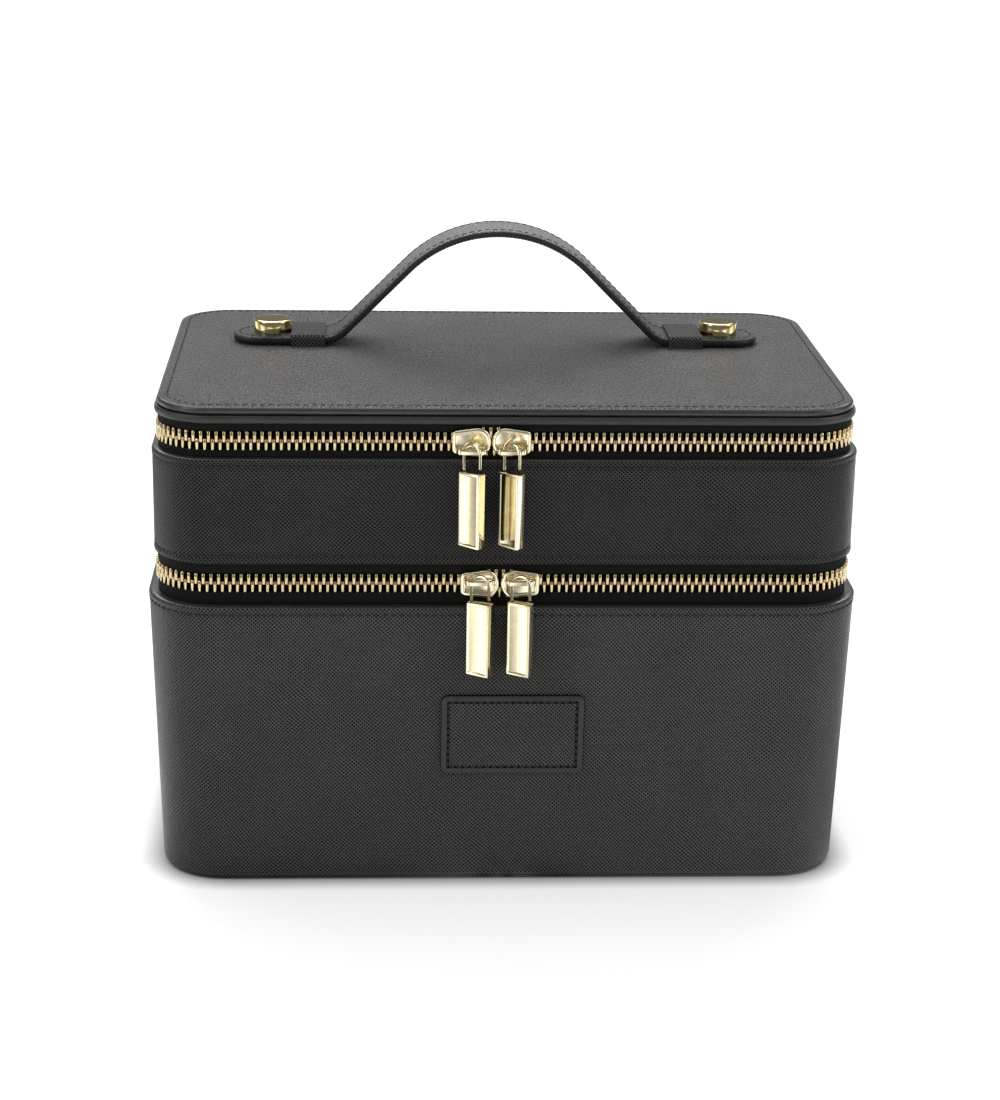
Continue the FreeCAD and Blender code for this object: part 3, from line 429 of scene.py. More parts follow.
    @staticmethod
    def copy(piece: Piece, name: str, place: Matrix) -> Piece:
        """A copy with its own mesh, moved by a matrix.

        Args:
            piece: the piece.
            name: the copy's name.
            place: the matrix.

        Returns:
            The copy.
        """
        twin = bpy.data.objects.new(name, piece.data.copy())
        twin.data.name = name
        bpy.context.scene.collection.objects.link(twin)
        twin.data.transform(place)
        return twin


class Cap:
    """The free face of a plate or shell under work, with its present size and height."""

    def __init__(self, name: str, outline: Outline, height: float, segments: int = 14) -> None:
        """Adds a plane, sizes it and rounds its corners.

        Args:
            name: the piece's name.
            outline: the plane's outline.
            height: the height that it lies at.
            segments: the faces of each rounded corner.
        """
        self.piece = Bench.plane(name, outline.width, outline.depth, height)
        self.width = outline.width
        self.depth = outline.depth
        self.height = height
        Bench.take_all("VERT")
        bpy.ops.mesh.bevel(offset=outline.radius, segments=segments, affect="VERTICES")
        Bench.take_all()

    def to(self, height: float, outline: Outline) -> None:
        """Draws the face to a height, and to another outline's size there.

        Args:
            height: the new height.
            outline: gives the new width and depth.
        """
        Bench.draw_out(height - self.height)
        Bench.stretch((outline.width / self.width, outline.depth / self.depth, 1.0))
        self.width = outline.width
        self.depth = outline.depth
        self.height = height

    def step(self, *pairs: Pair) -> None:
        """Steps the face inwards by even margins, and up by rises.

        Args:
            pairs: a margin and a rise for each step.
        """
        Bench.step(pairs)
        for margin, rise in pairs:
            self.width -= 2 * margin
            self.depth -= 2 * margin
            self.height += rise

    def shrink(self, *pairs: Pair) -> None:
        """Steps the face by scaling it, where its corners are too tight for an even margin."""
        for margin, rise in pairs:
            self.to(self.height + rise, Outline(self.width, self.depth, 0.0).inset(margin))

    def done(self) -> Piece:
        """Closes the plate."""
        return Bench.close(self.piece)

    def ring(self) -> Piece:
        """Takes out the first and last faces and joins their rims, which leaves a ring.

        Returns:
            The piece, closed.
        """
        Bench.select(
            self.piece, lambda _, normal, sides: sides > FEW_SIDES and abs(normal.z) > 0.99)
        bpy.ops.mesh.bridge_edge_loops()
        return self.done()


def mesh_arrays(mesh: bpy.types.Mesh) -> tuple[np.ndarray, np.ndarray]:
    """A mesh as arrays.

    Args:
        mesh: the mesh.

    Returns:
        Its points as rows of x, y and z, and the number of each face corner's point.
    """
    points = np.empty(len(mesh.vertices) * 3)
    mesh.vertices.foreach_get("co", points)
    corners = np.empty(len(mesh.loops), int)
    mesh.loops.foreach_get("vertex_index", corners)
    return points.reshape(-1, 3), corners


def scatter(name: str, model: Piece, places: Sequence[Matrix]) -> Piece:
    """One mesh of copies of a modelled piece, which is then removed.

    Args:
        name: the new piece's name.
        model: the piece to repeat.
        places: where each copy goes.

    Returns:
        The new piece.
    """
    points, corners = mesh_arrays(model.data)
    points = np.c_[points, np.ones(len(points))]
    starts = np.array([face.loop_start for face in model.data.polygons])
    moved = np.concatenate([(points @ np.array(place).T)[:, :3] for place in places])
    count = len(places)
    mesh = bpy.data.meshes.new(name)
    mesh.vertices.add(len(moved))
    mesh.vertices.foreach_set("co", moved.ravel())
    mesh.loops.add(len(corners) * count)
    shifts = np.repeat(np.arange(count) * len(points), len(corners))
    mesh.loops.foreach_set("vertex_index", np.tile(corners, count) + shifts)
    mesh.polygons.add(len(starts) * count)
    shifts = np.repeat(np.arange(count) * len(corners), len(starts))
    mesh.polygons.foreach_set("loop_start", np.tile(starts, count) + shifts)
    mesh.update(calc_edges=True)
    piece = bpy.data.objects.new(name, mesh)
    bpy.context.scene.collection.objects.link(piece)
    bpy.data.objects.remove(model)
    return Bench.shade(piece, 50.0)


def corner_data(piece: Piece) -> tuple[np.ndarray, np.ndarray, np.ndarray, np.ndarray]:
    """The corners of a piece's faces as arrays.

    Args:
        piece: the piece.

    Returns:
        Each corner's place, its face's normal, its face's number and its face's count of corners.
    """
    points, corners = mesh_arrays(piece.data)
    totals = np.array([len(face.vertices) for face in piece.data.polygons])
    normals = np.array([face.normal for face in piece.data.polygons])
    faces = np.repeat(np.arange(len(totals)), totals)
    return points[corners], normals[faces], faces, totals[faces]


def write_uv(piece: Piece, uv: np.ndarray) -> None:
    """Stores a map of the surface, in millimetres, for the finishes that follow it."""
    layer = piece.data.uv_layers.get("UVMap") or piece.data.uv_layers.new(name="UVMap")
    layer.data.foreach_set("uv", uv.astype(np.float32).ravel())


def map_round(piece: Piece, outline: Outline) -> None:
    """Maps a piece that goes round the case by the way along its outline and the height.

    Args:
        piece: the piece.
        outline: the outline that it follows.
    """
    places, normals, faces, sides = corner_data(piece)
    along, inside = outline.measure(places[:, :2])
    low = np.full(faces.max() + 1, np.inf)
    high = -low
    np.minimum.at(low, faces, along)
    np.maximum.at(high, faces, along)
    wraps = (high - low)[faces] > outline.length / 2
    along = np.where(wraps & (along < 0), along + outline.length, along)
    flat = np.abs(normals[:, 2]) > LEVEL
    across = np.where(flat, places[:, 2] - inside, places[:, 2])
    plan = flat & (sides > FEW_SIDES)
    along = np.where(plan, places[:, 0], along)
    write_uv(piece, np.c_[along, np.where(plan, places[:, 1], across)])


def map_flat(piece: Piece) -> None:
    """Maps a piece by its largest faces: from above, or from the side where a face stands up.

    Args:
        piece: the piece.
    """
    places, normals, _, _ = corner_data(piece)
    across_x = (np.abs(normals[:, 0]) > np.abs(normals[:, 1])) & (np.abs(normals[:, 2]) < LEVEL)
    across_y = ~across_x & (np.abs(normals[:, 2]) < LEVEL)
    u = np.where(across_x, places[:, 1], places[:, 0])
    v = np.where(across_x | across_y, places[:, 2], places[:, 1])
    write_uv(piece, np.c_[u, v])


class NodeSheet:
    """The nodes of a material or a world, added and wired in one call each."""

    def __init__(self, name: str, store: bpy.types.bpy_prop_collection | None = None) -> None:
        """Starts an empty material, or a new one of another store.

        Args:
            name: its name.
            store: where it is made, or None for the materials.
        """
        self.owner = (bpy.data.materials if store is None else store).new(name)
        self.owner.use_nodes = True
        self.tree = self.owner.node_tree
        self.tree.nodes.clear()

    def add(self, kind: str, inputs: dict[object, object] | None = None,
            **settings: object) -> bpy.types.Node:
        """Adds a node, sets it and feeds it.

        Args:
            kind: the node's type, without its Shader prefix.
            inputs: a value or another node's socket for each input's name or number.
            settings: the node's own properties.

        Returns:
            The node.
        """
        node = self.tree.nodes.new(f"ShaderNode{kind}")
        for name, value in settings.items():
            setattr(node, name, value)
        for key, value in (inputs or {}).items():
            if isinstance(value, Socket):
                self.tree.links.new(value, node.inputs[key])
            else:
                node.inputs[key].default_value = value
        return node

    def math(self, operation: str, *values: object) -> Socket:
        """A sum, product or other operation on numbers or sockets."""
        return self.add("Math", dict(enumerate(values)), operation=operation).outputs[0]

    def noise(self, vector: Socket, scale: float, detail: float = 3.0) -> Socket:
        """A soft random field over a vector."""
        fed = {"Vector": vector, "Scale": scale, "Detail": detail}
        return self.add("TexNoise", fed).outputs[0]

    def span(self, value: Socket, low: float, high: float) -> Socket:
        """A field from 0 to 1, spread over a range."""
        return self.add("MapRange", {"Value": value, "To Min": low, "To Max": high}).outputs[0]

    def rise(self, value: Socket, over: Pair, to: Pair) -> Socket:
        """A soft step from one value to another, while a field crosses a range.

        Args:
            value: the field.
            over: the range that it crosses.
            to: the two values.

        Returns:
            The value.
        """
        fed = {"Value": value, "From Min": over[0], "From Max": over[1],
               "To Min": to[0], "To Max": to[1]}
        return self.add("MapRange", fed, interpolation_type="SMOOTHSTEP").outputs[0]

    def parts(self, vector: Socket) -> Sequence[Socket]:
        """The three parts of a vector."""
        return self.add("SeparateXYZ", {0: vector}).outputs

    def tint(self, value: Socket, dark: Sequence[float], light: Sequence[float]) -> Socket:
        """A colour between two, by a field from 0 to 1."""
        fed = {"Factor": value, 6: (*dark, 1.0), 7: (*light, 1.0)}
        return self.add("Mix", fed, data_type="RGBA").outputs[2]

    def surface_mm(self) -> Socket:
        """The piece's own map of its surface, in millimetres."""
        return self.add("UVMap", uv_map="UVMap").outputs[0]

    def object_mm(self) -> Socket:
        """The place on the piece, in millimetres."""
        place = self.add("TexCoord").outputs["Object"]
        return self.add("VectorMath", {0: place, "Scale": 1000.0}, operation="SCALE").outputs[0]

    def ridges(self, value: Socket, pitch: float) -> Socket:
        """Rounded ridges, from 0 to 1, at a pitch along a field."""
        wave = self.math("SINE", self.math("MULTIPLY", value, 2 * math.pi / pitch))
        return self.math("MULTIPLY_ADD", wave, 0.5, 0.5)

    def bump(self, height: Socket, depth_mm: float, strength: float = 1.0,
             under: Socket | None = None) -> Socket:
        """A relief of a real depth.

        Args:
            height: the relief, from 0 to 1.
            depth_mm: its depth.
            strength: how much of it shows.
            under: a relief that this one lies on.

        Returns:
            The normal.
        """
        fed = {"Height": height, "Distance": depth_mm * MM, "Strength": strength}
        if under is not None:
            fed["Normal"] = under
        return self.add("Bump", fed).outputs[0]

    def close(self, **inputs: object) -> Material:
        """Adds the shader with these inputs, whose names have _ for a space, and the output.

        Args:
            inputs: values or sockets.

        Returns:
            The material.
        """
        fed = {name.replace("_", " "): value for name, value in inputs.items()}
        shader = self.add("BsdfPrincipled", fed)
        self.add("OutputMaterial", {"Surface": shader.outputs[0]})
        return self.owner


@dataclass(frozen=True)
class Saffiano:
    """Black leather with a fine cross-hatched grain pressed in at 45 degrees."""

    name: str = "black_saffiano"
    pitch: float = 0.92
    depth: float = 0.2
    dark: Triple = (0.0005, 0.0005, 0.0005)
    light: Triple = (0.105, 0.102, 0.1)
    rough: Pair = (0.34, 0.46)
    pebble: float = 0.0
    specular: float = 0.42
    # Painted light from above: the height where the piece starts to lighten, where it is fully lit,
    # and its tone at the start; lower down, colour, sheen and grain are painted darker.
    painted_top_light: Triple | None = None

    def material(self) -> Material:
        """Builds the finish.

        Returns:
            The material.
        """
        sheet = NodeSheet(self.name)
        place = sheet.surface_mm()
        parts = sheet.parts(place)
        drift = sheet.math("MULTIPLY", sheet.noise(place, 0.03, 2.0), 6.0)
        along = sheet.math("ADD", parts[0], drift)
        rising = sheet.math("ADD", along, parts[1])
        falling = sheet.math("SUBTRACT", along, parts[1])
        step = self.pitch * math.sqrt(2.0)
        first = sheet.math("POWER", sheet.ridges(rising, step), 2.0)
        second = sheet.math("POWER", sheet.ridges(falling, step), 2.0)
        grain = sheet.noise(place, 0.5, 2.0)
        hatch = sheet.math("MAXIMUM", first, sheet.math("MULTIPLY", second, 0.85))
        relief = sheet.math("MULTIPLY", hatch, sheet.span(grain, 0.8, 1.15))
        patches = sheet.noise(place, 0.045, 3.0)
        stretched = sheet.add("VectorMath", {0: place, 1: (1.0, 0.5, 1.0)},
                              operation="MULTIPLY").outputs[0]
        lumps = sheet.math("MULTIPLY_ADD", sheet.noise(stretched, 1.4, 2.0), 2.4, -0.7)
        pebbles = sheet.span(lumps, 1.0 - self.pebble, 1.0 + self.pebble)
        # Painted light from above: lower down the piece, the grain's tone, and with it the colour
        # and sheen, is darkened as painted shade.
        if self.painted_top_light is not None:
            low, high, least = self.painted_top_light
            height = sheet.parts(sheet.object_mm())[2]
            painted_light_by_height = sheet.rise(height, (low, high), (least, 1.0))
            pebbles = sheet.math("MULTIPLY", pebbles, painted_light_by_height)
        tone = sheet.math("MULTIPLY", relief, sheet.span(patches, 0.6, 1.0))
        tone = sheet.math("MULTIPLY", pebbles, tone)
        normal = sheet.bump(relief, self.depth, 1.0, sheet.bump(pebbles, 0.55, 1.0))
        colour = sheet.tint(tone, self.dark, self.light)
        wear = sheet.math("MULTIPLY_ADD", grain, 0.5, sheet.math("MULTIPLY", patches, 0.5))
        return sheet.close(
            Base_Color=colour,
            Roughness=sheet.span(wear, *self.rough),
            Specular_IOR_Level=self.specular,
            Specular_Tint=sheet.tint(sheet.math("MULTIPLY", relief, pebbles), BLACK, WHITE),
            Normal=normal,
        )


@dataclass(frozen=True)
class Mottled:
    """A plain surface, a little uneven in tone and sheen: leather edges, board, silvered glass.

    relief holds the depth of its unevenness and how much of it shows; None leaves it flat.
    """

    name: str = "painted_edge"
    dark: Triple = (0.008, 0.008, 0.008)
    light: Triple = (0.016, 0.0155, 0.015)
    rough: Pair = (0.36, 0.5)
    specular: float = 0.5
    metallic: float = 0.0
    scale: float = 0.6
    detail: float = 3.0
    relief: Pair | None = (0.12, 0.5)

    def material(self) -> Material:
        """Builds the finish.

        Returns:
            The material.
        """
        sheet = NodeSheet(self.name)
        cloud = sheet.noise(sheet.object_mm(), self.scale, self.detail)
        inputs = {"Base_Color": sheet.tint(cloud, self.dark, self.light),
                  "Roughness": sheet.span(cloud, *self.rough)}
        if self.relief is not None:
            inputs["Normal"] = sheet.bump(cloud, *self.relief)
        return sheet.close(Specular_IOR_Level=self.specular, Metallic=self.metallic, **inputs)


@dataclass(frozen=True)
class Thread:
    """Twisted black sewing thread."""

    name: str = "black_thread"

    def material(self) -> Material:
        """Builds the finish.

        Returns:
            The material.
        """
        sheet = NodeSheet(self.name)
        place = sheet.object_mm()
        parts = sheet.parts(place)
        slant = sheet.math("ADD", sheet.math("ADD", parts[0], parts[1]), parts[2])
        twist = sheet.ridges(slant, 0.32)
        return sheet.close(
            Base_Color=sheet.tint(twist, (0.002, 0.002, 0.002), (0.009, 0.0088, 0.0086)),
            Roughness=sheet.span(twist, 0.5, 0.68),
            Normal=sheet.bump(twist, 0.06, 0.8),
        )


@dataclass(frozen=True)
class Tape:
    """The black woven tape of a zip, ribbed along its length."""

    name: str = "zip_tape_weave"

    def material(self) -> Material:
        """Builds the finish.

        Returns:
            The material.
        """
        sheet = NodeSheet(self.name)
        place = sheet.surface_mm()
        parts = sheet.parts(place)
        chevron = sheet.math("PINGPONG", parts[1], 1.1)
        weft = sheet.ridges(sheet.math("ADD", parts[0], chevron), 0.52)
        warp = sheet.ridges(parts[1], 1.1)
        weave = sheet.math("MULTIPLY", weft, sheet.math("MULTIPLY_ADD", warp, 0.6, 0.4))
        fuzz = sheet.noise(place, 4.0, 4.0)
        tone = sheet.math("MULTIPLY_ADD", fuzz, 0.4, sheet.math("MULTIPLY", weave, 0.6))
        return sheet.close(
            Base_Color=sheet.tint(tone, (0.0015, 0.0014, 0.0012), (0.0065, 0.006, 0.0053)),
            Roughness=sheet.span(fuzz, 0.74, 0.92),
            Specular_IOR_Level=0.2,
            Normal=sheet.bump(tone, 0.12, 0.8),
        )


@dataclass(frozen=True)
class Lining:
    """Charcoal lining cloth in a fine twill."""

    name: str = "charcoal_lining"

    def material(self) -> Material:
        """Builds the finish.

        Returns:
            The material.
        """
        sheet = NodeSheet(self.name)
        place = sheet.surface_mm()
        parts = sheet.parts(place)
        twill = sheet.ridges(sheet.math("ADD", parts[0], parts[1]), 0.62)
        yarn = sheet.ridges(parts[0], 0.31)
        weave = sheet.math("MULTIPLY_ADD", yarn, 0.35, sheet.math("MULTIPLY", twill, 0.65))
        cloud = sheet.noise(place, 0.06, 4.0)
        tone = sheet.math("MULTIPLY_ADD", cloud, 0.5, sheet.math("MULTIPLY", weave, 0.5))
        return sheet.close(
            Base_Color=sheet.tint(tone, (0.03, 0.0295, 0.0305), (0.075, 0.074, 0.075)),
            Roughness=sheet.span(cloud, 0.66, 0.82),
            Sheen_Weight=0.2,
            Sheen_Roughness=0.35,
            Normal=sheet.bump(weave, 0.08, 0.8, sheet.bump(cloud, 0.8, 0.35)),
        )


@dataclass(frozen=True)
class Gold:
    """Pale gold plate on cast or turned metal."""

    name: str = "pale_gold"
    dark: Triple = (0.76, 0.66, 0.41)
    light: Triple = (0.92, 0.85, 0.66)
    rough: Pair = (0.10, 0.2)

    def material(self) -> Material:
        """Builds the finish.

        Returns:
            The material.
        """
        sheet = NodeSheet(self.name)
        place = sheet.object_mm()
        cloud = sheet.noise(place, 0.5, 4.0)
        handling = sheet.noise(place, 3.0, 5.0)
        return sheet.close(
            Base_Color=sheet.tint(cloud, self.dark, self.light),
            Metallic=1.0,
            Roughness=sheet.span(sheet.math("MULTIPLY", cloud, handling), *self.rough),
            Normal=sheet.bump(handling, 0.02, 0.1),
        )


class Slot(Enum):
    """The record's material slots that the pieces here are made for."""

    LEATHER = "saffiano_leather"
    CLOTH = "lining_cloth"
    TAPE = "zip_tape"
    METAL = "gold_metal"


class Wardrobe:
    """Every finish of the case, made once, and the last steps of a piece."""

    def __init__(self) -> None:
        """Makes the finishes."""
        near_black = (0.008, 0.008, 0.008)
        self.leather = Saffiano().material()
        # The upper tier's leather is painted darker and less shiny, as painted shade on the upper
        # wall.
        self.tier_leather = Saffiano(
            "tier_saffiano_painted_shade", light=(0.062, 0.0603, 0.059), specular=0.3).material()
        self.keeper_leather = Saffiano(
            "keeper_saffiano", light=(0.11, 0.107, 0.105), specular=0.06).material()
        # The lid's leather has less sheen and a lighter colour in its place: painted sheen.
        self.lid_leather = Saffiano(
            "lid_saffiano_painted_sheen", light=(0.245, 0.239, 0.236), pebble=0.65, specular=0.16).material()
        # The strap's leather is painted lighter, and lighter still towards its crown, as painted
        # light from above.
        self.lit_strap_leather = Saffiano(
            "strap_saffiano_painted_light", light=(0.46, 0.45, 0.444), pebble=0.4, specular=0.25,
            painted_top_light=(164.0, 197.0, 0.24)).material()
        self.edge = Mottled().material()
        # The turned edges: smoother and glossier where worn, and painted lighter as a painted
        # highlight.
        self.fold = Mottled(
            "worn_fold_painted_highlight", (0.018, 0.018, 0.018), (0.046, 0.0447, 0.0435), (0.26, 0.36)).material()
        self.rim = Mottled("patch_rim", near_black, (0.03, 0.0294, 0.0288), (0.4, 0.55)).material()
        self.shade = Mottled(
            "seam_shade", (0.0006, 0.0006, 0.0006), (0.002, 0.002, 0.002), (0.7, 0.85),
            specular=0.1).material()
        self.band = Mottled(
            "band_leather", near_black, (0.036, 0.0351, 0.0342), (0.42, 0.55)).material()
        self.thread = Thread().material()
        self.tape = Tape().material()
        self.lining = Lining().material()
        self.board = Mottled(
            "grey_board", (0.16, 0.145, 0.125), (0.3, 0.275, 0.24), (0.8, 0.95),
            scale=0.9, detail=6.0, relief=(0.1, 0.6)).material()
        self.gold = Gold().material()
        self.stud_gold = Gold(
            "stud_gold", (0.62, 0.5, 0.22), (0.82, 0.7, 0.38), (0.05, 0.1)).material()
        self.satin = Gold(
            "satin_gold", (0.68, 0.59, 0.37), (0.88, 0.8, 0.57), (0.06, 0.14)).material()
        self.teeth = Gold(
            "tooth_gold", (0.60, 0.46, 0.25), (0.84, 0.71, 0.46), (0.14, 0.28)).material()
        self.mirror = Mottled(
            "mirror_silver", (0.84, 0.86, 0.87), (0.9, 0.91, 0.92), (0.02, 0.07),
            metallic=1.0, scale=0.12, detail=5.0, relief=None).material()

    def put_on(self, piece: Piece, finishes: Sequence[Material], slot: Slot,
               nodes: Sequence[str] = ()) -> Piece:
        """Scales a finished piece to metres, gives it its finishes and hides the CAD nodes that it
        stands for.

        Args:
            piece: the piece, modelled in millimetres.
            finishes: its materials, in the order of its faces' numbers.
            slot: the record's slot; not used.
            nodes: the CAD nodes that it replaces.

        Returns:
            The piece.
        """
        Bench.clear()
        piece.data.transform(Matrix.Scale(MM, 4))
        for finish in finishes:
            piece.data.materials.append(finish)
        if nodes:
            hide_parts(*nodes)
        LOG.info("%s: %d faces", piece.name, len(piece.data.polygons))
        return piece

    def carry_over(self, node: str, finish: Material) -> None:
        """Gives a CAD node that stays in view its finish.

        Args:
            node: the node's name.
            finish: its material.
        """
        piece = frame["nodes"][node]
        piece.data.materials.clear()
        piece.data.materials.append(finish)


def set_at(place: Sequence[float], along: Sequence[float], outwards: Sequence[float]) -> Matrix:
    """The matrix that sets a model's X along a line and its Z out of a surface.

    Args:
        place: where it goes.
        along: the direction of its X.
        outwards: the direction of its Z.

    Returns:
        The matrix.
    """
    first = Vector(along).normalized()
    third = Vector(outwards).normalized()
    second = third.cross(first)
    turn = Matrix((first, second, third)).transposed().to_4x4()
    return Matrix.Translation(Vector(place)) @ turn


@dataclass(frozen=True)
class Stitching:
    """Rows of sewn stitches, each a small pill of thread that dips at both ends."""

    pitch: float = 2.7
    length: float = 1.8
    width: float = 0.66
    height: float = 0.56

    def model(self) -> Piece:
        """One stitch, lying along X.

        Returns:
            The stitch, in object mode.
        """
        Bench.clear()
        bpy.ops.mesh.primitive_uv_sphere_add(segments=8, ring_count=6, radius=0.5,
                                             rotation=(0, math.pi / 2, 0))
        piece = Bench.start("stitch")
        Bench.stretch((self.length, self.width, self.height))
        bpy.ops.object.mode_set(mode="OBJECT")
        return piece

    def sew(self, name: str, places: Sequence[Matrix], wardrobe: Wardrobe) -> Piece:
        """Sews a row at these places and gives it its thread."""
        row = scatter(name, self.model(), places)
        return wardrobe.put_on(row, [wardrobe.thread], Slot.LEATHER)

    def round(self, outline: Outline, height: float, flat: bool = False) -> list[Matrix]:
        """Places all the way along an outline, on an upright wall or on a flat top.

        Args:
            outline: the line of the seam.
            height: its height.
            flat: whether the seam lies on a top.

        Returns:
            A matrix for each stitch.
        """
        reach = outline.length / 2
        count = max(1, round(reach / self.pitch))
        places = []
        for side in (-1, 1):
            for number in range(count):
                x, y, heading = outline.at(side * (number + 0.5) * reach / count)
                along = (math.cos(heading), math.sin(heading), 0.0)
                outwards = UP if flat else (math.sin(heading), -math.cos(heading), 0.0)
                places.append(set_at((x, y, height), along, outwards))
        return places

    def line(self, start: Sequence[float], end: Sequence[float],
             outwards: Sequence[float]) -> list[Matrix]:
        """Places along a straight seam between two points.

        Args:
            start: the first point.
            end: the last point.
            outwards: the way out of the surface.

        Returns:
            A matrix for each stitch.
        """
        begin = Vector(start)
        way = Vector(end) - begin
        count = max(1, round(way.length / self.pitch))
        return [set_at(begin + way * ((number + 0.5) / count), way, outwards)
                for number in range(count)]


def raise_wall(name: str, profile: Profile, nominal: Callable[[float], Outline]) -> Cap:
    """Raises a wall round the case through the heights and margins of a profile.

    Args:
        name: the piece's name.
        profile: rows of a height, and how far the wall stands out of its nominal face there.
        nominal: gives the nominal outline at a height.

    Returns:
        The wall's free face, at the profile's end.
    """
    first, margin = profile[0]
    cap = Cap(name, nominal(first).inset(-margin), first)
    for height, margin in profile[1:]:
        cap.to(height, nominal(height).inset(-margin))
    return cap


@dataclass
class Assembly:
    """A sub-assembly of the case, which dresses its pieces and sets them on their bodies."""

    wardrobe: Wardrobe

    def add(self, piece: Piece, body: str, slot: Slot, nodes: Sequence[str],
            *finishes: Material) -> None:
        """Dresses a piece and sets it on the body that it moves with.

        Args:
            piece: the piece, modelled in millimetres.
            body: the body.
            slot: the record's slot.
            nodes: the CAD nodes that it stands for.
            finishes: its materials, in the order of its faces' numbers.
        """
        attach(self.wardrobe.put_on(piece, finishes, slot, nodes), body)

    def sew(self, name: str, body: str, sewing: Stitching, places: Sequence[Matrix]) -> None:
        """Sews a row of stitches on a body."""
        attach(sewing.sew(name, places, self.wardrobe), body)

    def add_plate(self, name: str, body: str, slot: Slot, node: str, finish: Material,
                  outline: Outline, profile: Profile) -> None:
        """Makes a level plate of one outline through a profile, and dresses it.

        Args:
            name: the piece's name.
            body: the body that it moves with.
            slot: the record's slot.
            node: the CAD node that it stands for.
            finish: its material.
            outline: the plate's outline.
            profile: rows of a height, and how far the edge stands out of the outline there.
        """
        plate = raise_wall(name, profile, lambda _: outline).done()
        map_flat(plate)
        self.add(plate, body, slot, [node], finish)

    def add_bag(self, name: str, body: str, nodes: Sequence[str], floor: Outline, top: Outline,
                heights: Triple) -> None:
        """Makes a lining: one bag of cloth with a floor, its edge folded at the top.

        Args:
            name: the piece's name.
            body: the body that it moves with.
            nodes: the CAD nodes that it stands for.
            floor: its outline at the floor.
            top: its outline at the top.
            heights: its foot, the end of the rounding above that, and its top.
        """
        foot, rounded, high = heights
        cap = Cap(name, floor.inset(rounded - foot), foot)
        cap.to(rounded, floor)
        cap.to(high, top)
        cap.step(*BAG_FOLD)
        cap.to(foot + BAG_FLOOR, floor.inset(BAG_CLOTH))
        cap.step(BAG_SAG)
        bag = cap.done()
        map_round(bag, top)
        self.add(bag, body, Slot.CLOTH, nodes, self.wardrobe.lining)


